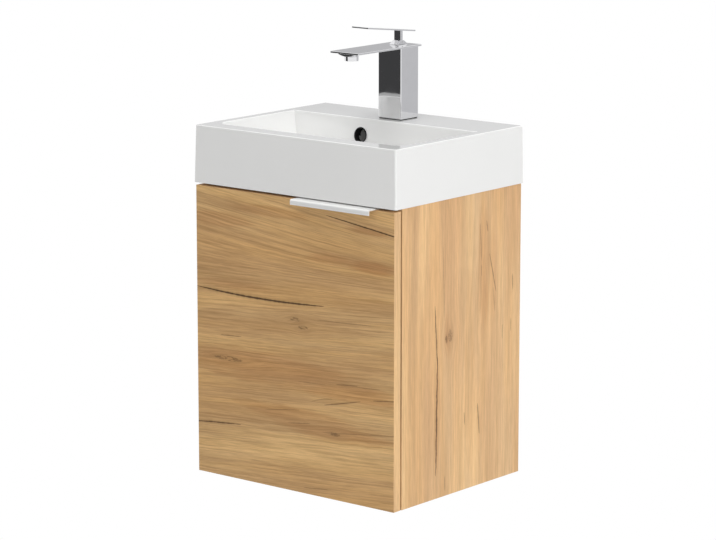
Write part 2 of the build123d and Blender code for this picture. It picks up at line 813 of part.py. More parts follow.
# Hinge arms: a channel over the spine, with two cheeks that hold the arm pins
spine_top = plate_spine_height - inner_half
arm_back = carcass_front + arm_length
arm_knee = (spine_top, carcass_front + plate_spine_front + arm_sheet)
outer_pin = hinge_place(arm_pin_outer)
inner_pin = hinge_place(arm_pin_inner)
with BuildPart() as hinge_arms:
    for level in hinge_levels:
        with BuildSketch(Plane.XY.offset(level)):
            with BuildLine():
                Polyline(
                    (spine_top - arm_nose_radius, arm_back),
                    (spine_top + arm_sheet, arm_back),
                    (spine_top + arm_sheet, arm_knee[1] + arm_nose_radius),
                    (outer_pin[0] + arm_nose_radius, outer_pin[1]),
                    (inner_pin[0] + arm_tip_radius, inner_pin[1]),
                    (inner_pin[0] - arm_tip_radius, inner_pin[1]),
                    (outer_pin[0] - arm_nose_radius, outer_pin[1]),
                    (spine_top - arm_nose_radius, arm_knee[1]),
                    close=True,
                )
            make_face()
            with Locations(outer_pin):
                Circle(arm_nose_radius)
            with Locations(inner_pin):
                Circle(arm_tip_radius)
        extrude(amount=arm_half, both=True)
        with BuildSketch(Plane.XY.offset(level)):
            with BuildLine():
                Polyline(
                    (spine_top - 2 * arm_nose_radius, arm_back),
                    (spine_top, arm_back),
                    (spine_top, arm_knee[1] + arm_nose_radius),
                    (outer_pin[0] + arm_nose_radius - arm_sheet, outer_pin[1] + arm_nose_radius),
                    (outer_pin[0] + 2 * arm_nose_radius, outer_pin[1] + arm_nose_radius),
                    (outer_pin[0] + 2 * arm_nose_radius, inner_pin[1] - 2 * arm_nose_radius),
                    (spine_top - 2 * arm_nose_radius, inner_pin[1] - 2 * arm_nose_radius),
                    close=True,
                )
            make_face()
        extrude(amount=pocket_half, both=True, mode=Mode.SUBTRACT)
        round_bores(Plane.XY.offset(level - arm_half), arm_pins_at, hinge_pin_radius, 2 * arm_half)
hinge_arms.part.label = "hinge_arms"
export_step(hinge_arms.part, "parts/hinge_arms.step")

with BuildPart() as arm_pins:
    for level in hinge_levels:
        round_pegs(Plane.XY.offset(level - arm_half), arm_pins_at, hinge_pin_radius, 2 * arm_half)
arm_pins.part.label = "arm_pins"
export_step(arm_pins.part, "parts/arm_pins.step")

# Cup pins: the inner link's pin crosses the pocket, the outer link's is a stub in each wall
with BuildPart() as cup_pins:
    for level in hinge_levels:
        low = Plane.XY.offset(level - pocket_half - cup_pin_seat)
        round_pegs(low, [cup_pins_at[1]], hinge_pin_radius, 2 * (pocket_half + cup_pin_seat))
        for up in (-1, 1):
            stub = Plane.XY.offset(level + up * (pocket_half + cup_pin_seat))
            stub_length = cup_pin_seat + link_side_play + outer_link_sheet
            round_pegs(stub, [cup_pins_at[0]], hinge_pin_radius, -up * stub_length)
cup_pins.part.label = "cup_pins"
export_step(cup_pins.part, "parts/cup_pins.step")


def link_outline(plane, start, end, start_radius, end_radius, start_bore, end_bore):
    # A flat link between two pins: a bar with a round eye at each end
    run = (end[0] - start[0], end[1] - start[1])
    angle = degrees(atan2(run[1], run[0]))
    with BuildSketch(plane) as outline:
        with Locations(Location(((start[0] + end[0]) / 2, (start[1] + end[1]) / 2, 0), (0, 0, angle))):
            Rectangle(hypot(*run), link_width)
        with Locations(start):
            Circle(start_radius)
        with Locations(end):
            Circle(end_radius)
        with Locations(start):
            Circle(start_bore, mode=Mode.SUBTRACT)
        with Locations(end):
            Circle(end_bore, mode=Mode.SUBTRACT)
    return outline.sketch


def outer_link(level):
    # Two cheeks joined by a bridge near the arm's end
    start = hinge_place(arm_pin_outer)
    end = hinge_place(cup_pin_outer)
    eye = hinge_pin_radius + hinge_pin_play
    run = (end[0] - start[0], end[1] - start[1])
    angle = degrees(atan2(run[1], run[0]))
    with BuildPart() as link:
        for up in (-1, 1):
            cheek = Plane.XY.offset(level + up * outer_link_low)
            outline = link_outline(cheek, start, end, link_arm_end, link_cup_end, eye, eye)
            extrude(outline, amount=up * outer_link_sheet)
        with BuildSketch(Plane(origin=(start[0], start[1], level), x_dir=(run[0], run[1], 0))) as bridge:
            with Locations((link_arm_end + outer_link_bridge / 2, 0)):
                Rectangle(outer_link_bridge, link_width / 2, align=(Align.CENTER, Align.MAX))
        extrude(bridge.sketch, amount=outer_link_high, both=True)
    return link


def inner_link(level):
    # One bar: a close eye on the cup pin and a loose eye round the arm pin
    start = hinge_place((arm_pin_inner[0] + open_eye_shift[0], arm_pin_inner[1] + open_eye_shift[1]))
    end = hinge_place(cup_pin_inner)
    loose = hinge_pin_radius + open_eye_play
    eye = hinge_pin_radius + hinge_pin_play
    with BuildPart() as link:
        plane = Plane.XY.offset(level)
        outline = link_outline(plane, start, end, loose + open_eye_wall, link_cup_end, loose, eye)
        extrude(outline, amount=inner_link_half, both=True)
    return link


upper_outer_link = outer_link(hinge_levels[0])
upper_outer_link.part.label = "upper_outer_link"
export_step(upper_outer_link.part, "parts/upper_outer_link.step")

lower_outer_link = outer_link(hinge_levels[1])
lower_outer_link.part.label = "lower_outer_link"
export_step(lower_outer_link.part, "parts/lower_outer_link.step")

upper_inner_link = inner_link(hinge_levels[0])
upper_inner_link.part.label = "upper_inner_link"
export_step(upper_inner_link.part, "parts/upper_inner_link.step")

lower_inner_link = inner_link(hinge_levels[1])
lower_inner_link.part.label = "lower_inner_link"
export_step(lower_inner_link.part, "parts/lower_inner_link.step")


def bowl_outline(level, grow):
    # The bowl's plan at a level. Its walls lean in as it goes down.
    drop = basin_top - level
    side = drop * tan(radians(bowl_side_lean)) - grow
    back = drop * tan(radians(bowl_back_lean)) - grow
    front_edge = bowl_front + side
    back_edge = bowl_back - back
    with BuildSketch(Plane.XY.offset(level)) as outline:
        with Locations((0, (front_edge + back_edge) / 2)):
            Rectangle(2 * (bowl_half - side), back_edge - front_edge)
        corners = outline.vertices().group_by(Axis.Y)
        fillet(corners[0], bowl_front_radius + grow)
        fillet(corners[-1], bowl_back_radius + grow)
    return outline.sketch


with BuildPart() as bowl_hollow:
    loft([bowl_outline(bowl_floor, 0), bowl_outline(basin_top + rim_edge_radius, 0)])
    floor_edges = bowl_hollow.faces().sort_by(Axis.Z)[0].edges()
    fillet(floor_edges, min(bowl_floor_radius, bowl_back_radius - rim_edge_radius / 2))

# Overflow: its place on the bowl's leaning back wall, and its duct down to the waste
overflow_level = basin_top - overflow_drop
back_lean = radians(bowl_back_lean)
overflow_y = bowl_back - overflow_drop * tan(back_lean)
overflow_spot = (overflow_x, overflow_y, overflow_level)
wall_normal = (0, -cos(back_lean), sin(back_lean))
overflow_face = Plane(origin=overflow_spot, x_dir=(1, 0, 0), z_dir=wall_normal)
sleeve_radius = overflow_ring_bore / 2 + overflow_ring_wall
duct_front = bowl_back + ceramic
duct_back = duct_front + overflow_duct_bore
passage_low = boss_bottom + overflow_passage_floor
passage_run = (-overflow_x, waste_y - duct_front)
passage_angle = degrees(atan2(passage_run[1], passage_run[0]))
passage_middle = (overflow_x / 2, (waste_y + duct_front) / 2)
waste_bore = waste_tail_radius + waste_play

with BuildPart() as basin:
    # Square skirt, a little wider at the bottom
    with BuildSketch(Plane.XY.offset(carcass_top)):
        with Locations((0, -(basin_depth + basin_draft) / 2)):
            Rectangle(basin_width + 2 * basin_draft, basin_depth + basin_draft)
    with BuildSketch(Plane.XY.offset(basin_top)):
        with Locations((0, -basin_depth / 2)):
            Rectangle(basin_width, basin_depth)
    loft()
    upright_edges = basin.edges().filter_by(lambda edge: edge.bounding_box().size.Z > basin_height / 2)
    fillet(upright_edges.group_by(Axis.Y)[0], skirt_corner_radius)
    # Open underside
    with BuildSketch(Plane.XY.offset(carcass_top)):
        with Locations((0, -basin_depth / 2)):
            Rectangle(basin_width - 2 * skirt_wall, basin_depth - 2 * skirt_wall)
    extrude(amount=basin_height - ledge_slab, mode=Mode.SUBTRACT)
    # Bowl shell, waste boss, and the overflow's duct and passage
    shell_low = bowl_outline(drain_level - ceramic, ceramic)
    shell_high = bowl_outline(ledge_underside + ceramic / 2, ceramic)
    loft([shell_low, shell_high])
    with BuildSketch(Plane.XY.offset(boss_bottom)):
        with Locations((0, waste_y)):
            Circle(waste_bore + waste_boss_wall)
    extrude(amount=waste_boss_height)
    with BuildSketch(Plane.XY.offset(boss_bottom)):
        with Locations((overflow_x, duct_back + overflow_duct_wall)):
            Rectangle(
                overflow_duct_width,
                overflow_duct_bore + 2 * ceramic + overflow_duct_wall,
                align=(Align.CENTER, Align.MAX),
            )
    extrude(amount=ledge_underside - boss_bottom + ceramic / 2)
    with BuildSketch(Plane.XY.offset(boss_bottom)):
        with Locations(Location((*passage_middle, 0), (0, 0, passage_angle))):
            Rectangle(hypot(*passage_run), overflow_passage_width + 2 * overflow_duct_wall)
    extrude(amount=drain_level - ceramic / 2 - boss_bottom)
    # Bowl with its fall to the drain
    add(bowl_hollow.part, mode=Mode.SUBTRACT)
    with Locations((0, waste_y, drain_level)):
        Cone(
            waste_flange_radius + waste_recess_play,
            bowl_fall_radius,
            bowl_fall,
            align=(Align.CENTER, Align.CENTER, Align.MIN),
            mode=Mode.SUBTRACT,
        )
    waste_spot = [(0, waste_y)]
    recess_radius = waste_flange_radius + waste_recess_play
    round_bores(Plane.XY.offset(waste_seat), waste_spot, recess_radius, waste_recess_depth)
    round_bores(Plane.XY.offset(boss_bottom), waste_spot, waste_bore, waste_boss_height)
    # Overflow duct, passage and hole
    with BuildSketch(Plane.XY.offset(passage_low)):
        with Locations((overflow_x, (duct_front + duct_back) / 2)):
            Rectangle(overflow_duct_width - 2 * overflow_duct_wall, overflow_duct_bore)
    extrude(amount=ledge_underside - passage_low, mode=Mode.SUBTRACT)
    with BuildSketch(Plane.XY.offset(passage_low)):
        with Locations(Location((*passage_middle, 0), (0, 0, passage_angle))):
            Rectangle(hypot(*passage_run), overflow_passage_width)
    extrude(amount=overflow_passage_height, mode=Mode.SUBTRACT)
    hole_depth = overflow_sleeve + ceramic
    round_bores(overflow_face, [(0, 0)], sleeve_radius + ring_play, -hole_depth)
    # Tap hole
    round_bores(Plane.XY.offset(ledge_underside), [(0, tap_y)], tap_hole_radius, ledge_slab)
    rim = basin.faces().sort_by(Axis.Z)[-1]
    rim_edges = rim.edges().filter_by(lambda edge: abs(edge.center().Y - tap_y) > tap_hole_radius / 2)
    fillet(rim_edges, rim_edge_radius)
basin.part.label = "basin"
export_step(basin.part, "parts/basin.step")

# Overflow ring: a flange on the bowl's wall and a sleeve into its hole
with BuildPart() as overflow_ring:
    with BuildSketch(overflow_face):
        Circle(overflow_flange / 2)
        Circle(overflow_ring_bore / 2, mode=Mode.SUBTRACT)
    extrude(amount=overflow_flange_height)
    fillet(overflow_ring.edges().group_by(lambda edge: edge.length)[-1], overflow_flange_height / 3)
    with BuildSketch(overflow_face):
        Circle(sleeve_radius)
        Circle(overflow_ring_bore / 2, mode=Mode.SUBTRACT)
    extrude(amount=-overflow_sleeve)
overflow_ring.part.label = "overflow_ring"
export_step(overflow_ring.part, "parts/overflow_ring.step")


def tube(low, high, outer, inner, spot):
    # An upright tube in the piece that is being made
    with BuildSketch(Plane.XY.offset(low)) as ring:
        with Locations(spot):
            Circle(outer)
            Circle(inner, mode=Mode.SUBTRACT)
    extrude(ring.sketch, amount=high - low)


# Waste: a dished flange, a slotted tail and a web that holds the plug's guide
waste = (0, waste_y)
flange_low = waste_seat + seal_height
flange_high = flange_low + waste_flange_height
dish_level = flange_high - waste_dish_depth
tail_end = flange_low - waste_tail_length
tail_bore = waste_tail_radius - waste_tail_wall
web_low = passage_low + overflow_passage_height + connector_play
web_high = web_low + waste_web_height
with BuildPart() as waste_body:
    tube(flange_low, flange_high, waste_flange_radius, tail_bore, waste)
    fillet(waste_body.faces().sort_by(Axis.Z)[-1].edges().sort_by(lambda e: e.length)[-1], plug_gap)
    tube(tail_end, flange_low, waste_tail_radius, tail_bore, waste)
    round_bores(Plane.XY.offset(dish_level), [waste], waste_dish_radius, waste_dish_depth)
    with BuildSketch(Plane.XY.offset(web_low)):
        with Locations(waste):
            Circle(plug_hub_radius)
            with PolarLocations(0, 3):
                Rectangle(tail_bore + waste_tail_wall / 2, waste_web_width, align=(Align.MIN, Align.CENTER))
            Circle(plug_guide_radius + plug_play, mode=Mode.SUBTRACT)
    extrude(amount=waste_web_height)
    with BuildSketch(Plane.XY.offset(passage_low)):
        with Locations(waste):
            with PolarLocations(0, 4, start_angle=45):
                Rectangle(2 * waste_tail_radius, waste_slot_width, align=(Align.MIN, Align.CENTER))
            Circle(tail_bore - waste_tail_wall, mode=Mode.SUBTRACT)
    extrude(amount=waste_slot_height, mode=Mode.SUBTRACT)
waste_body.part.label = "waste_body"
export_step(waste_body.part, "parts/waste_body.step")

plug_low = dish_level + plug_gap
with BuildPart() as waste_plug:
    with BuildSketch(Plane.XY.offset(plug_low)):
        with Locations(waste):
            Circle(plug_radius)
    extrude(amount=plug_height)
    fillet(waste_plug.faces().sort_by(Axis.Z)[-1].edges(), plug_edge_radius)
    round_pegs(Plane.XY.offset(plug_low), [waste], plug_stem_radius, -plug_stem_length)
waste_plug.part.label = "waste_plug"
export_step(waste_plug.part, "parts/waste_plug.step")

with BuildPart() as plug_guide:
    stem_bore = plug_stem_radius + plug_play
    tube(web_high, web_high + plug_guide_lip_height, plug_guide_lip, stem_bore, waste)
    tube(web_high - plug_guide_length, web_high, plug_guide_radius, stem_bore, waste)
plug_guide.part.label = "plug_guide"
export_step(plug_guide.part, "parts/plug_guide.step")

seal_bore = waste_tail_radius + seal_play
with BuildPart() as waste_upper_seal:
    tube(waste_seat, flange_low, waste_flange_radius - waste_recess_play, waste_bore, waste)
waste_upper_seal.part.label = "waste_upper_seal"
export_step(waste_upper_seal.part, "parts/waste_upper_seal.step")

nut_high = boss_bottom - lower_seal_height
with BuildPart() as waste_lower_seal:
    tube(nut_high, boss_bottom, waste_nut_radius, seal_bore, waste)
waste_lower_seal.part.label = "waste_lower_seal"
export_step(waste_lower_seal.part, "parts/waste_lower_seal.step")

with BuildPart() as waste_nut:
    with BuildSketch(Plane.XY.offset(nut_high - waste_nut_height)):
        with Locations(waste):
            RegularPolygon(waste_nut_radius, 8)
            Circle(waste_tail_radius + thread_play, mode=Mode.SUBTRACT)
    extrude(amount=waste_nut_height)
waste_nut.part.label = "waste_nut"
export_step(waste_nut.part, "parts/waste_nut.step")

# Bottle trap
collar_low = tail_end - trap_collar_height
trap_nut_low = collar_low - trap_collar_height
trap_top = tail_end - trap_drop
trap_low = trap_top - trap_body_height
cup_top = trap_low + trap_cup_seat
cup_bottom = cup_top - trap_cup_height
tube_bore = trap_tube_radius - trap_tube_wall
with BuildPart() as trap_inlet_nut:
    with BuildSketch(Plane.XY.offset(trap_nut_low)):
        with Locations(waste):
            RegularPolygon(trap_nut_radius, 12)
            Circle(trap_tube_radius + thread_play, mode=Mode.SUBTRACT)
    extrude(amount=trap_nut_height)
    round_bores(Plane.XY.offset(collar_low), [waste], waste_tail_radius + thread_play, trap_nut_height)
trap_inlet_nut.part.label = "trap_inlet_nut"
export_step(trap_inlet_nut.part, "parts/trap_inlet_nut.step")

with BuildPart() as trap_inlet_tube:
    tube(collar_low, tail_end, waste_tail_radius, tube_bore, waste)
    tube(cup_bottom + trap_dip, collar_low, trap_tube_radius, tube_bore, waste)
trap_inlet_tube.part.label = "trap_inlet_tube"
export_step(trap_inlet_tube.part, "parts/trap_inlet_tube.step")

outlet_level = trap_top - trap_outlet_drop
boss_end = waste_y + trap_body_radius + trap_boss_reach
pipe_start = boss_end - trap_pipe_seat
pipe_seat_radius = trap_tube_radius - trap_pipe_step
outlet_spot = [(0, outlet_level)]
with BuildPart() as trap_body:
    with BuildSketch(Plane.XY.offset(trap_low)):
        with Locations(waste):
            Circle(trap_body_radius)
    extrude(amount=trap_body_height)
    fillet(trap_body.faces().sort_by(Axis.Z)[-1].edges(), trap_neck_wall)
    neck_radius = trap_tube_radius + trap_neck_wall
    round_pegs(Plane.XY.offset(trap_top), [waste], neck_radius, trap_neck_height)
    round_pegs(Plane.XZ.offset(-boss_end), outlet_spot, trap_boss_radius, boss_end - waste_y)
    body_bore = trap_body_radius - trap_body_wall
    round_bores(Plane.XY.offset(trap_low), [waste], body_bore, trap_body_height - trap_neck_wall)
    neck_length = trap_neck_height + trap_neck_wall
    round_bores(
        Plane.XY.offset(trap_top - trap_neck_wall), [waste], trap_tube_radius + thread_play, neck_length
    )
    round_bores(Plane.XZ.offset(-boss_end), outlet_spot, pipe_seat_radius + thread_play, trap_pipe_seat)
    round_bores(Plane.XZ.offset(-boss_end), outlet_spot, tube_bore, boss_end - waste_y)
trap_body.part.label = "trap_body"
export_step(trap_body.part, "parts/trap_body.step")

cup_outer = trap_body_radius - trap_body_wall - thread_play
with BuildPart() as trap_cup:
    with BuildSketch(Plane.XY.offset(cup_bottom)):
        with Locations(waste):
            Circle(cup_outer)
    extrude(amount=trap_cup_height)
    fillet(trap_cup.faces().sort_by(Axis.Z)[0].edges(), trap_cup_grip)
    with BuildSketch(Plane.XY.offset(trap_low - trap_cup_grip)):
        with Locations(waste):
            RegularPolygon(trap_body_radius, 16)
    extrude(amount=trap_cup_grip)
    cup_bore = cup_outer - trap_body_wall
    cup_inside = cup_bottom + trap_body_wall
    round_bores(Plane.XY.offset(cup_inside), [waste], cup_bore - trap_body_wall, trap_cup_height)
    round_bores(Plane.XY.offset(cup_inside + trap_cup_grip), [waste], cup_bore, trap_cup_height)
trap_cup.part.label = "trap_cup"
export_step(trap_cup.part, "parts/trap_cup.step")

with BuildPart() as trap_outlet_nut:
    nut_end = boss_end + trap_outlet_nut_length / 2
    with BuildSketch(Plane.XZ.offset(-nut_end)):
        with Locations(*outlet_spot):
            RegularPolygon(trap_outlet_nut_radius, 12)
            Circle(pipe_seat_radius + thread_play, mode=Mode.SUBTRACT)
    extrude(amount=trap_outlet_nut_length)
    round_bores(
        Plane.XZ.offset(-boss_end), outlet_spot, trap_boss_radius + thread_play, trap_outlet_nut_length
    )
trap_outlet_nut.part.label = "trap_outlet_nut"
export_step(trap_outlet_nut.part, "parts/trap_outlet_nut.step")

# Outlet pipe, turned down where it sits in the nut and the boss
with BuildPart() as trap_outlet_pipe:
    with BuildSketch(Plane.XZ.offset(trap_end_gap)):
        with Locations(*outlet_spot):
            Circle(trap_tube_radius)
    extrude(amount=-nut_end - trap_end_gap)
    round_pegs(Plane.XZ.offset(-nut_end), outlet_spot, pipe_seat_radius, nut_end - pipe_start)
    pipe_length = -pipe_start - trap_end_gap
    round_bores(Plane.XZ.offset(trap_end_gap), outlet_spot, tube_bore, pipe_length)
trap_outlet_pipe.part.label = "trap_outlet_pipe"
export_step(trap_outlet_pipe.part, "parts/trap_outlet_pipe.step")

# Mixer: levels and places
tap = (0, tap_y)
column_low = basin_top + tap_gasket_height
spout_low = column_low + tap_column_height
spout_high = spout_low + spout_sheet
spout_tip = tap_y - spout_reach
spout_back = tap_y + tap_depth / 2 + spout_back_overhang
bore_top = spout_high - tap_roof
aerator_y = spout_tip + aerator_from_tip
aerator_face = spout_low - belly_depth
belly_radius = (belly_width**2 / 4 + belly_depth**2) / (2 * belly_depth)

with BuildPart() as tap_gasket:
    with BuildSketch(Plane.XY.offset(basin_top)):
        with Locations(tap):
            inset = 2 * tap_gasket_inset
            RectangleRounded(tap_width - inset, tap_depth - inset, tap_corner_radius)
            Circle(tap_hole_radius, mode=Mode.SUBTRACT)
    extrude(amount=tap_gasket_height)
tap_gasket.part.label = "tap_gasket"
export_step(tap_gasket.part, "parts/tap_gasket.step")

# Mixer body: a square column under a thin flat spout with a curved belly
with BuildPart() as tap_body:
    with BuildSketch(Plane.XY.offset(column_low)):
        with Locations(tap):
            RectangleRounded(tap_width, tap_depth, tap_corner_radius)
    extrude(amount=tap_column_height)
    with BuildSketch(Plane.XZ.offset(-tap_y)):
        with BuildLine():
            Line((-belly_width / 2, spout_low), (belly_width / 2, spout_low))
            RadiusArc((belly_width / 2, spout_low), (-belly_width / 2, spout_low), belly_radius)
        make_face()
    extrude(amount=spout_reach - belly_end)
    with BuildSketch(Plane.XY.offset(spout_low)):
        with Locations((0, spout_tip)):
            Rectangle(spout_width, spout_back - spout_tip, align=(Align.CENTER, Align.MIN))
    extrude(amount=spout_sheet)
    spout_edges = tap_body.edges().filter_by(lambda edge: edge.bounding_box().min.Z > spout_high - 0.1)
    fillet(spout_edges, spout_edge_radius)
    round_bores(Plane.XY.offset(column_low), [tap], tap_bore_radius, bore_top - column_low)
    round_bores(Plane.XY.offset(bore_top), [tap], collar_neck_radius + neck_play, tap_roof)
    aerator_spot = [(0, aerator_y)]
    round_bores(Plane.XY.offset(aerator_face), aerator_spot, aerator_thread_radius, aerator_thread_length)
tap_body.part.label = "tap_body"
export_step(tap_body.part, "parts/tap_body.step")

with BuildPart() as aerator_shell:
    tube(aerator_face - aerator_height, aerator_face, aerator_radius, aerator_thread_radius, (0, aerator_y))
    thread_outer = aerator_thread_radius - thread_play
    thread_inner = aerator_thread_radius - aerator_wall
    low = aerator_face - aerator_height
    high = aerator_face + aerator_thread_length - thread_play
    tube(low, high, thread_outer, thread_inner, (0, aerator_y))
    tube(low + aerator_floor, aerator_face, aerator_radius, thread_inner, (0, aerator_y))
aerator_shell.part.label = "aerator_shell"
export_step(aerator_shell.part, "parts/aerator_shell.step")

with BuildPart() as aerator_insert:
    round_pegs(
        Plane.XY.offset(low + aerator_floor / 2), aerator_spot, thread_inner - thread_play, aerator_height
    )
aerator_insert.part.label = "aerator_insert"
export_step(aerator_insert.part, "parts/aerator_insert.step")

# Cartridge, held up against the roof of the bore by its nut
with BuildPart() as mixer_cartridge:
    cartridge_low = bore_top - cartridge_height
    round_pegs(Plane.XY.offset(cartridge_low), [tap], cartridge_radius, cartridge_height)
    slot_plane = Plane.XY.offset(bore_top)
    round_bores(slot_plane, [tap], collar_neck_radius + cartridge_play, -(stem_tail + cartridge_play))
mixer_cartridge.part.label = "mixer_cartridge"
export_step(mixer_cartridge.part, "parts/mixer_cartridge.step")

with BuildPart() as cartridge_nut:
    nut_outer = tap_bore_radius - thread_play
    tube(cartridge_low - cartridge_nut_height, cartridge_low, nut_outer, cartridge_nut_bore, tap)
cartridge_nut.part.label = "cartridge_nut"
export_step(cartridge_nut.part, "parts/cartridge_nut.step")

# Base insert with its two hose inlets and the stud's thread
stud_spot = (0, tap_y + tap_stud_offset)
with BuildPart() as base_insert:
    round_pegs(Plane.XY.offset(column_low), [tap], tap_bore_radius - thread_play, base_insert_height)
    inlets = [(side * inlet_spread, tap_y - inlet_offset) for side in (-1, 1)]
    round_bores(Plane.XY.offset(column_low), inlets, inlet_radius, inlet_depth)
    round_bores(Plane.XY.offset(column_low), [stud_spot], tap_stud_radius + connector_play, tap_stud_seat)
base_insert.part.label = "base_insert"
export_step(base_insert.part, "parts/base_insert.step")

with BuildPart() as tap_stud:
    stud_top = Plane.XY.offset(column_low + tap_stud_seat)
    round_pegs(stud_top, [stud_spot], tap_stud_radius, -tap_stud_length)
tap_stud.part.label = "tap_stud"
export_step(tap_stud.part, "parts/tap_stud.step")


def horseshoe(high, thickness):
    # A disc under the ledge, open towards the front for the hoses
    with BuildPart() as plate:
        with BuildSketch(Plane.XY.offset(high)):
            with Locations(tap):
                Circle(horseshoe_radius)
                slot_place = (Align.CENTER, Align.MAX)
                Rectangle(horseshoe_slot, 2 * horseshoe_radius, align=slot_place, mode=Mode.SUBTRACT)
            with Locations(stud_spot):
                Circle(tap_stud_radius + stud_play, mode=Mode.SUBTRACT)
        extrude(amount=-thickness)
    return plate


horseshoe_gasket = horseshoe(ledge_underside, horseshoe_gasket_height)
horseshoe_gasket.part.label = "horseshoe_gasket"
export_step(horseshoe_gasket.part, "parts/horseshoe_gasket.step")

washer_level = ledge_underside - horseshoe_gasket_height
horseshoe_washer = horseshoe(washer_level, horseshoe_height)
horseshoe_washer.part.label = "horseshoe_washer"
export_step(horseshoe_washer.part, "parts/horseshoe_washer.step")

with BuildPart() as tap_nut:
    with BuildSketch(Plane.XY.offset(washer_level - horseshoe_height)):
        with Locations(stud_spot):
            RegularPolygon(tap_nut_radius, 6)
            Circle(tap_stud_radius + connector_play, mode=Mode.SUBTRACT)
    extrude(amount=-tap_nut_height)
tap_nut.part.label = "tap_nut"
export_step(tap_nut.part, "parts/tap_nut.step")

# Collar: a low ridged cap that turns on its neck in the spout's roof and carries the lever's pin
collar_bottom = spout_high + collar_gap
pivot_level = spout_high + lever_pivot_height
tail_swing = stem_tail * sin(radians(lever_lift))
tail_slot_depth = stem_tail_depth + 2 * (tail_swing + stem_play)
cap_top = collar_bottom + collar_height
stem_swing = (cap_top - pivot_level) * tan(radians(lever_lift))
stem_dip = stem_depth / 2 * sin(radians(lever_lift))
stem_slot_floor = pivot_level - stem_below_pin - stem_dip - stem_play
with BuildPart() as lever_collar:
    with BuildSketch(Plane.XY.offset(collar_bottom)):
        with Locations(tap):
            Rectangle(collar_width, collar_length)
    with BuildSketch(Plane.XY.offset(cap_top)):
        with Locations(tap):
            Rectangle(collar_top_width, collar_top_length)
    loft()
    neck_length = collar_bottom - bore_top + stem_tail - cartridge_play
    round_pegs(Plane.XY.offset(collar_bottom), [tap], collar_neck_radius, -neck_length)
    with BuildSketch(Plane.XY.offset(stem_slot_floor)):
        with Locations(tap):
            Rectangle(stem_width + 2 * stem_side_play, stem_depth + 2 * (stem_play + stem_swing))
    extrude(amount=collar_height, mode=Mode.SUBTRACT)
    with BuildSketch(Plane.XY.offset(collar_bottom - neck_length)):
        with Locations(tap):
            Rectangle(stem_tail_width + 2 * stem_side_play, tail_slot_depth)
    extrude(amount=neck_length + collar_height, mode=Mode.SUBTRACT)
    with BuildSketch(Plane.YZ):
        with Locations((tap_y, pivot_level)):
            Circle(lever_pin_radius)
    extrude(amount=collar_width, both=True, mode=Mode.SUBTRACT)
lever_collar.part.label = "lever_collar"
export_step(lever_collar.part, "parts/lever_collar.step")

pin_half = collar_top_width / 2 - collar_gap
with BuildPart() as lever_pin:
    with BuildSketch(Plane.YZ):
        with Locations((tap_y, pivot_level)):
            Circle(lever_pin_radius)
    extrude(amount=pin_half, both=True)
lever_pin.part.label = "lever_pin"
export_step(lever_pin.part, "parts/lever_pin.step")

# Lever: a flat blade that rises to the front, on a stem with a narrower tail in the neck
lever_level = spout_high + lever_rise
blade_normal = (0, sin(radians(lever_tilt)), cos(radians(lever_tilt)))
blade = Plane(origin=(0, tap_y, lever_level), x_dir=(1, 0, 0), z_dir=blade_normal)
with BuildPart() as lever:
    with BuildSketch(blade):
        with Locations((0, lever_back)):
            Rectangle(lever_width, lever_length, align=(Align.CENTER, Align.MAX))
    extrude(amount=lever_sheet)
    fillet(lever.edges().filter_by(Axis.X), lever_edge_radius)
    with BuildSketch(Plane.XY.offset(pivot_level - stem_below_pin)):
        with Locations(tap):
            Rectangle(stem_width, stem_depth)
    extrude(amount=lever_level - pivot_level + stem_below_pin + lever_sheet / 2)
    with BuildSketch(Plane.XY.offset(pivot_level)):
        with Locations(tap):
            Rectangle(stem_tail_width, stem_tail_depth)
    extrude(amount=-stem_tail)
    with BuildSketch(Plane.YZ):
        with Locations((tap_y, pivot_level)):
            Circle(lever_pin_radius + lever_pin_play)
    extrude(amount=stem_width, both=True, mode=Mode.SUBTRACT)
lever.part.label = "lever"
export_step(lever.part, "parts/lever.step")
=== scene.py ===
import json
import math

import bmesh
import bpy
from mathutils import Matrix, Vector


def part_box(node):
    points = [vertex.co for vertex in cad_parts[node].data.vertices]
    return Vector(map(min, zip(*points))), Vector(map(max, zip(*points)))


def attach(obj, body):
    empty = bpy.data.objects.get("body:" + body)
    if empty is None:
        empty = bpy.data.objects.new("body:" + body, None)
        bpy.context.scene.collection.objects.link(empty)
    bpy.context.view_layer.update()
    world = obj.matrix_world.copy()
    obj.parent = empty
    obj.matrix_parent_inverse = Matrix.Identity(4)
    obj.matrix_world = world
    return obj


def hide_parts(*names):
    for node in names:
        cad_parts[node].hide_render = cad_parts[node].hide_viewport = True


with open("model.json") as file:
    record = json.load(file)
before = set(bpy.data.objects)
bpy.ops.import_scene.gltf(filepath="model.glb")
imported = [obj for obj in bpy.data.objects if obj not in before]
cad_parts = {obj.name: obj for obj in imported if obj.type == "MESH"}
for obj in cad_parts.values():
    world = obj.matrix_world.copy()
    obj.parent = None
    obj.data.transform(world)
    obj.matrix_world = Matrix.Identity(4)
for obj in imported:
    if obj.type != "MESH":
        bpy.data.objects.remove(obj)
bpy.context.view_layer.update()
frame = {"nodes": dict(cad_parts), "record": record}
nodes = frame["nodes"]
scene = bpy.context.scene
print("frame loaded:", len(nodes), "nodes")


# camera, at the place the photograph was taken from

cameraSettings = {
    "place": (2.9928, -3.8106, 0.8438),
    "turn": 39.34,
    "dip": 11.24,
    "lens": 154.04,
    "sensor": 36.0,
}


def placeCamera(settings):
    data = bpy.data.cameras.new("viewCamera")
    data.lens = settings["lens"]
    data.sensor_width = settings["sensor"]
    data.clip_end = 100
    camera = bpy.data.objects.new("viewCamera", data)
    scene.collection.objects.link(camera)
    camera.location = settings["place"]
    camera.rotation_euler = (math.radians(90 - settings["dip"]), 0, math.radians(settings["turn"]))
    scene.camera = camera


placeCamera(cameraSettings)
scene.view_settings.view_transform = "Standard"


# small helpers for node trees

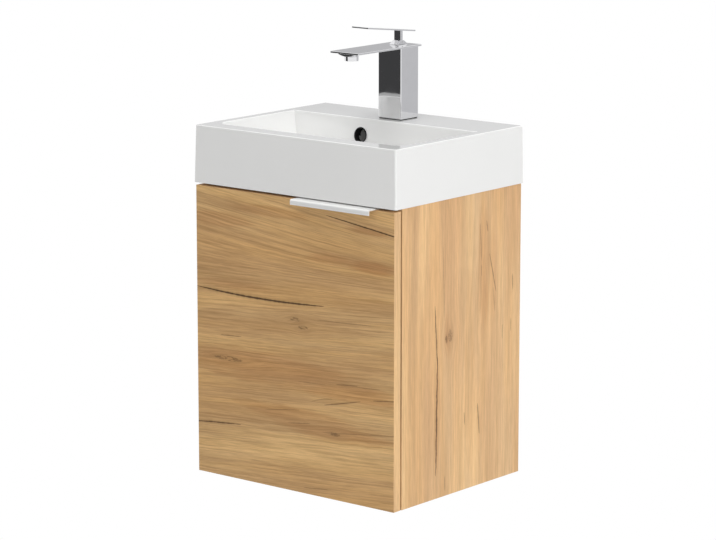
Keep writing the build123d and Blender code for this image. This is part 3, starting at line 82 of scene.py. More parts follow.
def addNode(tree, kind, **settings):
    node = tree.nodes.new(kind)
    for name, value in settings.items():
        setattr(node, name, value)
    return node


def wire(tree, value, socket):
    if isinstance(value, bpy.types.NodeSocket):
        tree.links.new(value, socket)
    else:
        socket.default_value = value


def calc(tree, operation, *values, clamp=False):
    node = addNode(tree, "ShaderNodeMath", operation=operation, use_clamp=clamp)
    for value, socket in zip(values, node.inputs):
        wire(tree, value, socket)
    return node.outputs[0]


def remap(tree, value, low, high, outLow=0.0, outHigh=1.0, smooth=True):
    node = addNode(tree, "ShaderNodeMapRange", interpolation_type="SMOOTHSTEP" if smooth else "LINEAR")
    for item, socket in zip((value, low, high, outLow, outHigh), node.inputs):
        wire(tree, item, socket)
    return node.outputs[0]


def stretch(tree, vector, scale, shift=(0, 0, 0)):
    node = addNode(tree, "ShaderNodeMapping")
    wire(tree, vector, node.inputs["Vector"])
    node.inputs["Location"].default_value = shift
    node.inputs["Scale"].default_value = scale
    return node.outputs[0]


def noise(tree, vector, scale=1.0, detail=2.0, rough=0.5):
    node = addNode(tree, "ShaderNodeTexNoise")
    wire(tree, vector, node.inputs["Vector"])
    node.inputs["Scale"].default_value = scale
    node.inputs["Detail"].default_value = detail
    node.inputs["Roughness"].default_value = rough
    return node.outputs[0]


def blendColour(tree, factor, first, second, kind="MIX"):
    node = addNode(tree, "ShaderNodeMix", data_type="RGBA", blend_type=kind)
    wire(tree, factor, node.inputs[0])
    wire(tree, first, node.inputs[6])
    wire(tree, second, node.inputs[7])
    return node.outputs[2]


def splitVector(tree, vector):
    node = addNode(tree, "ShaderNodeSeparateXYZ")
    wire(tree, vector, node.inputs[0])
    return node.outputs


def joinVector(tree, x, y, z):
    node = addNode(tree, "ShaderNodeCombineXYZ")
    for value, socket in zip((x, y, z), node.inputs):
        wire(tree, value, socket)
    return node.outputs[0]


def newGroup(name, inputs, outputs):
    tree = bpy.data.node_groups.new(name, "ShaderNodeTree")
    kinds = {"v": "NodeSocketVector", "f": "NodeSocketFloat", "c": "NodeSocketColor"}
    for label, kind, value in inputs:
        socket = tree.interface.new_socket(name=label, in_out="INPUT", socket_type=kinds[kind])
        if value is not None:
            socket.default_value = value
    for label, kind in outputs:
        tree.interface.new_socket(name=label, in_out="OUTPUT", socket_type=kinds[kind])
    given = tree.nodes.new("NodeGroupInput").outputs
    made = tree.nodes.new("NodeGroupOutput").inputs
    return tree, given, made


def useGroup(tree, group, **values):
    node = addNode(tree, "ShaderNodeGroup", node_tree=group)
    for name, value in values.items():
        wire(tree, value, node.inputs[name])
    return node.outputs


def newMaterial(name, **constants):
    material = bpy.data.materials.new(name)
    material.use_nodes = True
    tree = material.node_tree
    shader = tree.nodes["Principled BSDF"]
    for label, value in constants.items():
        shader.inputs[label.replace("_", " ")].default_value = value
    place = addNode(tree, "ShaderNodeTexCoord").outputs["Object"]
    return material, tree, shader.inputs, place


def bumpInto(tree, inputs, height, strength, distance):
    node = addNode(tree, "ShaderNodeBump")
    node.inputs["Strength"].default_value = strength
    node.inputs["Distance"].default_value = distance
    wire(tree, height, node.inputs["Height"])
    tree.links.new(node.outputs[0], inputs["Normal"])


# studio: white surroundings, soft lamps, and cards that only the chrome sees

studioSettings = {
    "roomLight": 0.476,
    "floorLevel": -0.86,
    "floorSize": 24.0,
    "lamps": {
        # name: place, aim, size, power
        "rightLamp": ((3.4, -0.9, 1.25), (0, -0.15, 0), 2.6, 59),
        "frontLamp": ((-0.7, -3.6, 1.4), (0, -0.3, 0), 2.2, 11),
        "topLamp": ((0.3, -0.7, 3.0), (0, -0.15, 0), 2.4, 45),
    },
    "cards": {
        # name: place, aim, width, height, brightness
        "frontCard": ((-1.40, -1.85, -0.05), (0, -0.08, 0.16), 1.5, 1.3, 0.055),
        "backCard": ((1.50, 1.80, -0.10), (0, -0.06, 0.17), 1.6, 1.4, 0.60),
        "topCard": ((-1.55, 1.75, 0.62), (0, -0.10, 0.20), 2.2, 0.9, 0.52),
    },
}


def aimed(obj, place, target):
    obj.location = place
    obj.rotation_euler = (Vector(target) - Vector(place)).to_track_quat("-Z", "Y").to_euler()


def flatPiece(name, width, height):
    mesh = bpy.data.meshes.new(name)
    w, h = width / 2, height / 2
    mesh.from_pydata([(-w, -h, 0), (w, -h, 0), (w, h, 0), (-w, h, 0)], [], [(0, 1, 2, 3)])
    obj = bpy.data.objects.new(name, mesh)
    scene.collection.objects.link(obj)
    return obj


def raySeen(tree, names):
    path = addNode(tree, "ShaderNodeLightPath")
    seen = path.outputs[names[0]]
    for name in names[1:]:
        seen = calc(tree, "MAXIMUM", seen, path.outputs[name])
    return seen


def buildStudio(settings):
    world = bpy.data.worlds.new("paleRoom")
    scene.world = world
    world.use_nodes = True
    tree = world.node_tree
    tree.nodes.clear()
    room = addNode(tree, "ShaderNodeBackground")
    room.inputs["Color"].default_value = (1, 1, 1, 1)
    room.inputs["Strength"].default_value = settings["roomLight"]
    white = addNode(tree, "ShaderNodeBackground")
    white.inputs["Color"].default_value = (1, 1, 1, 1)
    white.inputs["Strength"].default_value = 1.0
    mixed = addNode(tree, "ShaderNodeMixShader")
    seen = raySeen(tree, ["Is Camera Ray", "Is Glossy Ray", "Is Transmission Ray"])
    tree.links.new(seen, mixed.inputs[0])
    tree.links.new(room.outputs[0], mixed.inputs[1])
    tree.links.new(white.outputs[0], mixed.inputs[2])
    tree.links.new(mixed.outputs[0], addNode(tree, "ShaderNodeOutputWorld").inputs[0])

    floor = flatPiece("floor", settings["floorSize"], settings["floorSize"])
    floor.location = (0, 0, settings["floorLevel"])
    material, tree, inputs, place = newMaterial("floorPaint", Base_Color=(0.8, 0.8, 0.8, 1), Roughness=0.9)
    glow = addNode(tree, "ShaderNodeEmission")
    glow.inputs["Strength"].default_value = 1.0
    mixed = addNode(tree, "ShaderNodeMixShader")
    seen = raySeen(tree, ["Is Camera Ray", "Is Glossy Ray"])
    tree.links.new(seen, mixed.inputs[0])
    tree.links.new(tree.nodes["Principled BSDF"].outputs[0], mixed.inputs[1])
    tree.links.new(glow.outputs[0], mixed.inputs[2])
    # the camera looks through the floor from below
    below = calc(
        tree,
        "MULTIPLY",
        addNode(tree, "ShaderNodeLightPath").outputs["Is Camera Ray"],
        addNode(tree, "ShaderNodeNewGeometry").outputs["Backfacing"],
    )
    sides = addNode(tree, "ShaderNodeMixShader")
    tree.links.new(below, sides.inputs[0])
    tree.links.new(mixed.outputs[0], sides.inputs[1])
    tree.links.new(addNode(tree, "ShaderNodeBsdfTransparent").outputs[0], sides.inputs[2])
    tree.links.new(sides.outputs[0], tree.nodes["Material Output"].inputs[0])
    floor.data.materials.append(material)

    for name, (place, target, size, power) in settings["lamps"].items():
        data = bpy.data.lights.new(name, "AREA")
        data.shape = "DISK"
        data.size = size
        data.energy = power
        lamp = bpy.data.objects.new(name, data)
        scene.collection.objects.link(lamp)
        aimed(lamp, place, target)
        lamp.visible_glossy = False

    for name, (place, target, width, height, level) in settings["cards"].items():
        card = flatPiece(name, width, height)
        aimed(card, place, target)
        material, tree, inputs, _ = newMaterial(name + "Paint")
        glow = addNode(tree, "ShaderNodeEmission")
        glow.inputs["Color"].default_value = (level, level, level * 1.02, 1)
        tree.links.new(glow.outputs[0], tree.nodes["Material Output"].inputs[0])
        card.data.materials.append(material)
        card.visible_camera = False
        card.visible_diffuse = False
        card.visible_shadow = False
        card.visible_transmission = False


buildStudio(studioSettings)
print("studio built")


# shader groups shared by several materials

grainLayers = {
    # name: scale along and across the grain, place in the noise, detail, roughness
    "drift": ((3.2, 9, 9), (0, 0, 0), 1, 0.5),
    "ripple": ((38, 60, 60), (0, 0, 0), 1, 0.5),
    "broad": ((1.6, 13, 13), (3.1, 1.7, 0), 2, 0.5),
    "tint": ((2.6, 34, 34), (7.7, 4.1, 0), 3, 0.5),
    "line": ((6, 300, 300), (4.6, 8.2, 0), 3, 0.65),
    "fibre": ((11, 430, 430), (1.3, 2.9, 0), 4, 0.65),
    "fine": ((46, 1300, 1300), (5.2, 0.4, 0), 2, 0.5),
    "gold": ((3.0, 42, 42), (6.4, 5.5, 0), 3, 0.5),
    "pore": ((95, 2100, 2100), (8.8, 6.1, 0), 1, 0.5),
    "ringed": ((2.2, 16, 16), (2.2, 9.3, 0), 1, 0.5),
}

grainRanges = {
    # name: noise values where the effect starts and is full
    "broad": (0.34, 0.66),
    "tint": (0.38, 0.72),
    "line": (0.42, 0.66),
    "fibre": (0.42, 0.70),
    "pore": (0.66, 0.74),
    "ringed": (0.46, 0.66),
}

grainMix = {
    "driftReach": 0.009,
    "rippleReach": 0.0016,
    "ringsAcross": 640,
    "ringDrift": 9.0,
    "ringEdge": 0.35,
    "tintShare": 0.30,
    "lineShare": 0.44,
    "fibreShare": 0.42,
    "ringShare": 0.34,
    "poreShare": 0.22,
    "poreDepth": 0.8,
    "sheen": (0.3, 0.7, 0.90, 1.08),
    "goldLift": (0.36, 0.66, 0.96, 1.10),
    "goldBlue": (0.36, 0.66, 0.95, 1.02),
    "roughness": (0.3, 0.7, 0.52, 0.60),
}


def grainNoise(tree, name, vector):
    scale, shift, detail, rough = grainLayers[name]
    return noise(tree, stretch(tree, vector, scale, shift), detail=detail, rough=rough)


def buildGrainGroup(mix):
    # oak print: grain runs along the vector's X, all lengths in metres
    tree, given, made = newGroup(
        "oakGrain",
        [
            ("Vector", "v", None),
            ("Pale", "c", (0.7, 0.45, 0.22, 1)),
            ("Warm", "c", (0.6, 0.36, 0.16, 1)),
            ("Deep", "c", (0.42, 0.24, 0.10, 1)),
            ("Bands", "f", 1.0),
            ("Fibres", "f", 1.0),
            ("Rings", "f", 1.0),
        ],
        [("Color", "c"), ("Roughness", "f"), ("Height", "f")],
    )
    vector = given["Vector"]
    x, y, z = splitVector(tree, vector)[:3]
    drift = grainNoise(tree, "drift", vector)
    bent = calc(tree, "MULTIPLY_ADD", drift, mix["driftReach"], y)
    bent = calc(tree, "MULTIPLY_ADD", grainNoise(tree, "ripple", vector), mix["rippleReach"], bent)
    flow = joinVector(tree, x, bent, z)
    raw = {name: grainNoise(tree, name, flow) for name in grainLayers if name not in ("drift", "ripple")}
    mask = {name: remap(tree, raw[name], *limits) for name, limits in grainRanges.items()}

    def towardsDeep(colour, amount, share):
        return blendColour(tree, calc(tree, "MULTIPLY", amount, share), colour, given["Deep"])

    phase = calc(tree, "MULTIPLY_ADD", drift, mix["ringDrift"], calc(tree, "MULTIPLY", bent, mix["ringsAcross"]))
    ring = remap(tree, calc(tree, "SINE", phase), mix["ringEdge"], 1.0)
    ring = calc(tree, "MULTIPLY", ring, mask["ringed"])

    colour = blendColour(tree, calc(tree, "MULTIPLY", mask["broad"], given["Bands"]), given["Pale"], given["Warm"])
    colour = towardsDeep(colour, calc(tree, "MULTIPLY", mask["tint"], given["Bands"]), mix["tintShare"])
    colour = towardsDeep(colour, calc(tree, "MULTIPLY", mask["line"], given["Fibres"]), mix["lineShare"])
    colour = towardsDeep(colour, calc(tree, "MULTIPLY", mask["fibre"], given["Fibres"]), mix["fibreShare"])
    sheen = remap(tree, raw["fine"], *mix["sheen"], smooth=False)
    colour = blendColour(tree, 1.0, colour, joinVector(tree, sheen, sheen, sheen), "MULTIPLY")
    lift = remap(tree, raw["gold"], *mix["goldLift"])
    blue = remap(tree, raw["gold"], *mix["goldBlue"])
    colour = blendColour(tree, 1.0, colour, joinVector(tree, lift, lift, blue), "MULTIPLY")
    colour = towardsDeep(colour, calc(tree, "MULTIPLY", ring, given["Rings"]), mix["ringShare"])
    colour = towardsDeep(colour, mask["pore"], mix["poreShare"])
    wire(tree, colour, made["Color"])
    wire(tree, remap(tree, raw["fibre"], *mix["roughness"], smooth=False), made["Roughness"])
    dent = calc(tree, "MULTIPLY", mask["pore"], mix["poreDepth"])
    wire(tree, calc(tree, "SUBTRACT", raw["fibre"], dent), made["Height"])
    return tree


crackSettings = {
    "wobblesPerMetre": 55.0,
    "pinchesPerMetre": 130.0,
    "pinch": (0.3, 0.7, 0.75, 1.2),
    "taper": 0.45,
    "leastWidth": 1e-5,
    "softEdge": 0.55,
    "shadeReach": 3.5,
    "endsBelow": 0.004,
}


def buildCrackGroup(settings):
    # one open crack, from Start to End along the grain, with a sag, a wobble and tapered ends
    tree, given, made = newGroup(
        "grainCrack",
        [
            ("Vector", "v", None),
            ("Start X", "f", 0.0),
            ("Start Y", "f", 0.0),
            ("End X", "f", 0.1),
            ("End Y", "f", 0.0),
            ("Sag", "f", 0.0),
            ("Width", "f", 0.001),
            ("Wobble", "f", 0.001),
            ("Depth", "f", 1.0),
        ],
        [("Crack", "f"), ("Shade", "f")],
    )
    x, y, z = splitVector(tree, given["Vector"])[:3]
    along = calc(
        tree,
        "DIVIDE",
        calc(tree, "SUBTRACT", x, given["Start X"]),
        calc(tree, "SUBTRACT", given["End X"], given["Start X"]),
    )
    arch = calc(tree, "MULTIPLY", calc(tree, "MULTIPLY", along, calc(tree, "SUBTRACT", 1.0, along)), 4.0)
    arch = calc(tree, "MAXIMUM", arch, 0.0)
    line = calc(
        tree,
        "MULTIPLY_ADD",
        along,
        calc(tree, "SUBTRACT", given["End Y"], given["Start Y"]),
        given["Start Y"],
    )
    line = calc(tree, "MULTIPLY_ADD", arch, given["Sag"], line)
    steps = calc(tree, "MULTIPLY", x, settings["wobblesPerMetre"])
    waver = noise(tree, joinVector(tree, steps, given["Start Y"], 0.0), detail=2)
    line = calc(tree, "MULTIPLY_ADD", calc(tree, "SUBTRACT", waver, 0.5), given["Wobble"], line)
    apart = calc(tree, "ABSOLUTE", calc(tree, "SUBTRACT", y, line))
    steps = calc(tree, "MULTIPLY", x, settings["pinchesPerMetre"])
    pinch = noise(tree, joinVector(tree, steps, given["End Y"], 0.0), detail=1)
    room = calc(tree, "MULTIPLY", calc(tree, "POWER", arch, settings["taper"]), given["Width"])
    room = calc(tree, "MULTIPLY", room, remap(tree, pinch, *settings["pinch"], smooth=False))
    room = calc(tree, "MAXIMUM", room, settings["leastWidth"])
    gap = calc(tree, "SUBTRACT", 1.0, calc(tree, "DIVIDE", apart, room))
    present = calc(tree, "MULTIPLY", calc(tree, "GREATER_THAN", arch, settings["endsBelow"]), given["Depth"])
    wire(tree, calc(tree, "MULTIPLY", remap(tree, gap, 0.0, settings["softEdge"]), present), made["Crack"])
    wide = calc(tree, "MULTIPLY", room, settings["shadeReach"])
    soft = calc(tree, "SUBTRACT", 1.0, calc(tree, "DIVIDE", apart, wide))
    wire(tree, calc(tree, "MULTIPLY", remap(tree, soft, 0.0, 1.0), present), made["Shade"])
    return tree


def ellipse(tree, given):
    # offsets from the mark's centre, and one at the ellipse's edge
    x, y, z = splitVector(tree, given["Vector"])[:3]
    dx = calc(tree, "SUBTRACT", x, given["Centre X"])
    dy = calc(tree, "SUBTRACT", y, given["Centre Y"])
    ax = calc(tree, "DIVIDE", dx, given["Length"])
    ay = calc(tree, "DIVIDE", dy, given["Height"])
    return dy, calc(tree, "ADD", calc(tree, "MULTIPLY", ax, ax), calc(tree, "MULTIPLY", ay, ay))


knotSettings = {
    "raggedScale": (160, 520, 160),
    "core": (0.0, 0.5),
    "broken": (0.42, 0.56),
    "haloFade": -0.7,
    "haloShare": 0.30,
    "bendFade": -0.12,
    "bendShare": -0.75,
}


def buildKnotGroup(settings):
    # a small knot: a dark broken heart, and a bend that leads the grain round it
    tree, given, made = newGroup(
        "grainKnot",
        [
            ("Vector", "v", None),
            ("Centre X", "f", 0.0),
            ("Centre Y", "f", 0.0),
            ("Length", "f", 0.012),
            ("Height", "f", 0.004),
        ],
        [("Heart", "f"), ("Bend", "f")],
    )
    dy, square = ellipse(tree, given)
    ragged = noise(tree, stretch(tree, given["Vector"], settings["raggedScale"]), detail=3, rough=0.7)
    core = remap(tree, calc(tree, "SUBTRACT", 1.0, square), *settings["core"])
    heart = calc(tree, "MULTIPLY", core, remap(tree, ragged, *settings["broken"]))
    halo = calc(tree, "EXPONENT", calc(tree, "MULTIPLY", square, settings["haloFade"]))
    halo = calc(tree, "MULTIPLY", halo, settings["haloShare"])
    wire(tree, calc(tree, "MAXIMUM", heart, halo), made["Heart"])
    far = calc(tree, "EXPONENT", calc(tree, "MULTIPLY", square, settings["bendFade"]))
    wire(tree, calc(tree, "MULTIPLY", calc(tree, "MULTIPLY", dy, far), settings["bendShare"]), made["Bend"])
    return tree


patchSettings = {"raggedScale": (14, 120, 120), "raggedReach": 2.4, "edge": (-0.8, 0.8)}


def buildPatchGroup(settings):
    # a soft brown patch with ragged ends along the grain
    tree, given, made = newGroup(
        "brownPatch",
        [
            ("Vector", "v", None),
            ("Centre X", "f", 0.0),
            ("Centre Y", "f", 0.0),
            ("Length", "f", 0.05),
            ("Height", "f", 0.01),
            ("Strength", "f", 0.5),
        ],
        [("Mask", "f")],
    )
    ragged = noise(tree, stretch(tree, given["Vector"], settings["raggedScale"]), detail=3)
    shift = calc(tree, "MULTIPLY", calc(tree, "SUBTRACT", ragged, 0.5), settings["raggedReach"])
    square = ellipse(tree, given)[1]
    near = calc(tree, "SUBTRACT", calc(tree, "SUBTRACT", 1.0, square), shift)
    near = remap(tree, near, *settings["edge"])
    wire(tree, calc(tree, "MULTIPLY", near, given["Strength"]), made["Mask"])
    return tree


oakGrain = buildGrainGroup(grainMix)
grainCrack = buildCrackGroup(crackSettings)
grainKnot = buildKnotGroup(knotSettings)
brownPatch = buildPatchGroup(patchSettings)
print("shader groups built")


# oak boards

# front and side are two copies of the same oak: front is darker, as painted shade on the door face, and side is
# lighter, as painted light on the faces turned to the lamps
oakTonesShadedFrontLitSide = {
    "front": ((0.735, 0.478, 0.228, 1), (0.640, 0.385, 0.172, 1), (0.345, 0.188, 0.070, 1)),
    "side": ((0.830, 0.560, 0.305, 1), (0.740, 0.455, 0.235, 1), (0.450, 0.245, 0.108, 1)),
}

oakFinish = {
    "crackColour": (0.060, 0.028, 0.010, 1),
    "patchTint": (0.80, 0.665, 0.56, 1),
    "shadeShare": 0.35,
    "knotShare": 0.55,
    "crackShare": 0.92,
    "bump": (0.35, 0.0002),
}


def folded(tree, operation, values):
    total = values[0]
    for value in values[1:]:
        total = calc(tree, operation, total, value)
    return total


def marksOn(tree, group, labels, marks, spot):
    return [useGroup(tree, group, Vector=spot, **dict(zip(labels, mark))) for mark in marks]


def oakMaterial(
    name, order, tones, cracks=(), knots=(), patches=(), sweep=None, shift=(0, 0, 0), bands=1.0, fibres=1.0, rings=1.0
):
    # order says which axes run along the grain, across it and through the board;
    # sweep gives two heights across the grain and the grain's slope at each
    material, tree, inputs, place = newMaterial(name, Specular_IOR_Level=0.35)
    parts = splitVector(tree, place)
    spot = joinVector(tree, *[parts["XYZ".index(axis)] for axis in order])
    found = marksOn(tree, grainKnot, ("Centre X", "Centre Y", "Length", "Height"), knots, spot)
    a, b, c = splitVector(tree, spot)[:3]
    if sweep is not None:
        slope = remap(tree, b, *sweep)
        b = calc(tree, "SUBTRACT", b, calc(tree, "MULTIPLY", a, slope))
    if knots:
        b = calc(tree, "ADD", b, folded(tree, "ADD", [made["Bend"] for made in found]))
        heart = folded(tree, "MAXIMUM", [made["Heart"] for made in found])
    flow = stretch(tree, joinVector(tree, a, b, c), (1, 1, 1), shift)
    made = useGroup(
        tree,
        oakGrain,
        Vector=flow,
        Pale=tones[0],
        Warm=tones[1],
        Deep=tones[2],
        Bands=bands,
        Fibres=fibres,
        Rings=rings,
    )
    colour = made["Color"]
    if patches:
        labels = ("Centre X", "Centre Y", "Length", "Height", "Strength")
        masks = [patch["Mask"] for patch in marksOn(tree, brownPatch, labels, patches, spot)]
        colour = blendColour(tree, folded(tree, "MAXIMUM", masks), colour, oakFinish["patchTint"], "MULTIPLY")
    if cracks:
        labels = ("Start X", "Start Y", "End X", "End Y", "Sag", "Width", "Wobble", "Depth")
        lines = marksOn(tree, grainCrack, labels, cracks, spot)
        crack = folded(tree, "MAXIMUM", [line["Crack"] for line in lines])
        shade = folded(tree, "MAXIMUM", [line["Shade"] for line in lines])
        colour = blendColour(tree, calc(tree, "MULTIPLY", shade, oakFinish["shadeShare"]), colour, tones[2])
    if knots:
        dark = calc(tree, "MULTIPLY", heart, oakFinish["knotShare"])
        colour = blendColour(tree, dark, colour, oakFinish["crackColour"])
    if cracks:
        dark = calc(tree, "MULTIPLY", crack, oakFinish["crackShare"])
        colour = blendColour(tree, dark, colour, oakFinish["crackColour"])
    wire(tree, colour, inputs["Base Color"])
    wire(tree, made["Roughness"], inputs["Roughness"])
    bumpInto(tree, inputs, made["Height"], *oakFinish["bump"])
    return material


# cracks: start and end along and across the grain, sag, half width, wobble, depth
doorMarks = {
    "cracks": [
        (0.066, 0.0225, 0.270, -0.0045, 0.0, 0.0014, 0.0008, 1.0),
        (-0.200, -0.1200, 0.062, -0.1190, -0.0045, 0.0021, 0.0007, 1.0),
        (0.048, -0.1422, 0.155, -0.1368, 0.0, 0.0007, 0.0008, 0.55),
        (-0.150, -0.1922, -0.106, -0.1898, 0.0, 0.0010, 0.0008, 0.6),
        (0.010, -0.2440, 0.066, -0.2412, 0.0, 0.0008, 0.0010, 0.4),
        (0.086, -0.2372, 0.128, -0.2340, 0.0, 0.0012, 0.0010, 0.5),
        (0.124, -0.2358, 0.172, -0.2330, 0.0, 0.0008, 0.0010, 0.4),
        (0.036, -0.2712, 0.078, -0.2618, 0.001, 0.0008, 0.0010, 0.4),
        (0.062, -0.2735, 0.134, -0.2570, 0.0, 0.0012, 0.0010, 0.62),
        (0.158, -0.2520, 0.215, -0.2455, 0.0, 0.0011, 0.0008, 0.6),
        (-0.058, -0.2995, 0.012, -0.2893, 0.001, 0.0008, 0.0010, 0.42),
        (-0.250, -0.3450, -0.108, -0.3312, 0.001, 0.0015, 0.0008, 0.9),
        (-0.012, -0.3130, 0.034, -0.3070, 0.0, 0.0009, 0.0010, 0.5),
        (0.056, -0.3175, 0.220, -0.2985, 0.0, 0.0009, 0.0016, 0.38),
        (0.020, -0.4112, 0.070, -0.4062, 0.0, 0.0008, 0.0008, 0.45),
    ],
    "knots": [
        (-0.134, -0.2285, 0.034, 0.0046),
        (0.004, -0.1470, 0.012, 0.0036),
        (0.020, -0.1580, 0.011, 0.0042),
        (0.083, -0.3162, 0.012, 0.0036),
    ],
    "patches": [
        (0.155, -0.0480, 0.050, 0.0085, 0.75),
        (0.075, -0.0440, 0.045, 0.0080, 0.45),
        (-0.060, -0.2320, 0.170, 0.0240, 0.55),
        (0.110, -0.2480, 0.090, 0.0150, 0.60),
        (0.020, -0.2980, 0.120, 0.0120, 0.50),
        (0.090, -0.3150, 0.110, 0.0110, 0.55),
        (-0.150, -0.0080, 0.060, 0.0120, 0.45),
        (-0.040, 0.0150, 0.080, 0.0080, 0.45),
        (0.150, 0.0080, 0.040, 0.0060, 0.60),
        (-0.130, -0.1100, 0.080, 0.0060, 0.35),
    ],
    "sweep": (-0.13, 0.0, 0.07, -0.11),
}

sideMarks = {
    "cracks": [
        (-0.116, -0.2175, -0.222, -0.2105, 0.0, 0.0014, 0.0022, 0.85),
        (-0.196, -0.2108, -0.384, -0.2140, 0.0, 0.0019, 0.0028, 0.95),
        (-0.026, -0.1988, -0.144, -0.1932, 0.0, 0.0008, 0.0012, 0.4),
        (-0.002, -0.0888, -0.020, -0.0856, 0.0, 0.0010, 0.0006, 0.6),
        (-0.004, -0.1052, -0.064, -0.1006, 0.0, 0.0009, 0.0012, 0.5),
        (-0.070, -0.1008, -0.088, -0.1008, 0.0, 0.0009, 0.0006, 0.4),
        (-0.055, -0.0808, -0.118, -0.0632, 0.0, 0.0012, 0.0014, 0.6),
        (-0.110, -0.0708, -0.150, -0.0662, 0.0, 0.0008, 0.0010, 0.4),
        (-0.096, -0.0206, -0.122, -0.0194, 0.0, 0.0010, 0.0006, 0.6),
        (-0.173, -0.0460, -0.196, -0.0462, 0.0, 0.0009, 0.0006, 0.4),
        (-0.166, -0.0240, -0.188, -0.0240, 0.0, 0.0009, 0.0006, 0.4),
        (-0.296, -0.1432, -0.317, -0.1413, 0.0, 0.0010, 0.0006, 0.5),
        (-0.288, -0.1090, -0.338, -0.1040, 0.0, 0.0016, 0.0012, 0.6),
        (-0.388, -0.1912, -0.412, -0.1910, 0.0, 0.0009, 0.0006, 0.5),
    ],
    "knots": [
        (-0.168, -0.1790, 0.012, 0.0058),
        (-0.173, -0.1890, 0.007, 0.0034),
    ],
    "patches": [
        (-0.060, -0.0950, 0.110, 0.0120, 0.42),
        (-0.090, -0.0700, 0.080, 0.0080, 0.35),
        (-0.250, -0.1300, 0.150, 0.0120, 0.34),
        (-0.170, -0.1850, 0.030, 0.0090, 0.32),
        (-0.300, -0.2100, 0.080, 0.0070, 0.30),
        (-0.200, -0.0300, 0.140, 0.0100, 0.26),
    ],
}

# the door takes the darker front copy (painted shade), the other boards and bands the lighter side copy (painted
# light)
doorOak = oakMaterial("doorOak", "XZY", oakTonesShadedFrontLitSide["front"], shift=(0.31, 0.12, 0.05), **doorMarks)
sideOak = oakMaterial("sideOak", "ZYX", oakTonesShadedFrontLitSide["side"], shift=(0.9, 0.4, 0.2), fibres=0.6, rings=0.4, **sideMarks)
levelOak = oakMaterial("levelOak", "XYZ", oakTonesShadedFrontLitSide["side"], shift=(2.3, 0.2, 0.9))
uprightBand = oakMaterial("uprightBand", "ZYX", oakTonesShadedFrontLitSide["side"], shift=(3.3, 1.2, 0.9), fibres=0.6, rings=0.0)
levelBand = oakMaterial("levelBand", "XZY", oakTonesShadedFrontLitSide["side"], shift=(4.3, 1.6, 0.9), fibres=0.6, rings=0.0)
print("oak built")


# other materials, each with its own fine surface

def buildSpeckGroup():
    # fine even speckle with some dust and rubbed spots, as Mask and Height
    tree, given, made = newGroup(
        "surfaceSpeck",
        [("Vector", "v", None), ("Size", "f", 900.0), ("Patch", "f", 30.0)],
        [("Mask", "f"), ("Height", "f")],
    )
    node = addNode(tree, "ShaderNodeTexNoise")
    wire(tree, given["Vector"], node.inputs["Vector"])
    wire(tree, given["Size"], node.inputs["Scale"])
    wire(tree, node.outputs[0], made["Height"])
    patch = addNode(tree, "ShaderNodeTexNoise")
    patch.inputs["Detail"].default_value = 4
    wire(tree, given["Vector"], patch.inputs["Vector"])
    wire(tree, given["Patch"], patch.inputs["Scale"])
    wire(tree, remap(tree, patch.outputs[0], 0.35, 0.7), made["Mask"])
    return tree


def buildBrushGroup():
    # brushing along the vector's X
    tree, given, made = newGroup(
        "brushedLines", [("Vector", "v", None), ("Strength", "f", 1.0)], [("Mask", "f"), ("Height", "f")]
    )
    lines = noise(tree, stretch(tree, given["Vector"], (30, 5200, 5200)), detail=2)
    long = noise(tree, stretch(tree, given["Vector"], (8, 900, 900), (1, 2, 3)), detail=1)
    both = calc(tree, "MULTIPLY_ADD", long, 0.5, calc(tree, "MULTIPLY", lines, 0.5))
    wire(tree, calc(tree, "MULTIPLY", both, given["Strength"]), made["Height"])
    wire(tree, both, made["Mask"])
    return tree


surfaceSpeck = buildSpeckGroup()
brushedLines = buildBrushGroup()


def speckledMaterial(name, colour, rough, spread, size=900.0, patch=30.0, tintBy=0.06, bump=0.05, **constants):
    material, tree, inputs, place = newMaterial(name, **constants)
    made = useGroup(tree, surfaceSpeck, Vector=place, Size=size, Patch=patch)
    darker = tuple(c * (1 - tintBy) for c in colour[:3]) + (1,)
    wire(tree, blendColour(tree, made["Mask"], colour, darker), inputs["Base Color"])
    wire(tree, remap(tree, made["Mask"], 0, 1, rough - spread, rough + spread, smooth=False), inputs["Roughness"])
    bumpInto(tree, inputs, made["Height"], bump, 0.0001)
    return material


def brushedMaterial(name, order, colour, rough, spread, bump=0.15, **constants):
    material, tree, inputs, place = newMaterial(name, **constants)
    parts = splitVector(tree, place)
    spot = joinVector(tree, *[parts["XYZ".index(axis)] for axis in order])
    made = useGroup(tree, brushedLines, Vector=spot, Strength=1.0)
    darker = tuple(c * 0.9 for c in colour[:3]) + (1,)
    wire(tree, blendColour(tree, made["Mask"], darker, colour), inputs["Base Color"])
    wire(tree, remap(tree, made["Mask"], 0.3, 0.7, rough - spread, rough + spread), inputs["Roughness"])
    bumpInto(tree, inputs, made["Height"], bump, 0.00005)
    return material


glaze = speckledMaterial(
    "whiteGlaze", (0.845, 0.845, 0.835, 1), 0.10, 0.02, size=260, patch=9, tintBy=0.012, bump=0.02,
    Coat_Weight=0.4, Coat_Roughness=0.04,
)
chrome = speckledMaterial(
    "chromePlate", (0.80, 0.80, 0.815, 1), 0.045, 0.015, size=1400, patch=60, tintBy=0.02, bump=0.01, Metallic=1.0
)
satinAluminium = brushedMaterial("satinAluminium", "XYZ", (0.93, 0.93, 0.92, 1), 0.42, 0.05, Metallic=0.35)
nickelSteel = speckledMaterial(
    "nickelSteel", (0.62, 0.615, 0.60, 1), 0.24, 0.06, size=1500, patch=80, tintBy=0.12, bump=0.05, Metallic=1.0
)
zincCast = speckledMaterial(
    "zincCast", (0.52, 0.53, 0.55, 1), 0.42, 0.08, size=2400, patch=120, tintBy=0.15, bump=0.25, Metallic=1.0
)
brass = speckledMaterial(
    "turnedBrass", (0.74, 0.56, 0.28, 1), 0.26, 0.06, size=1500, patch=90, tintBy=0.15, bump=0.06, Metallic=1.0
)
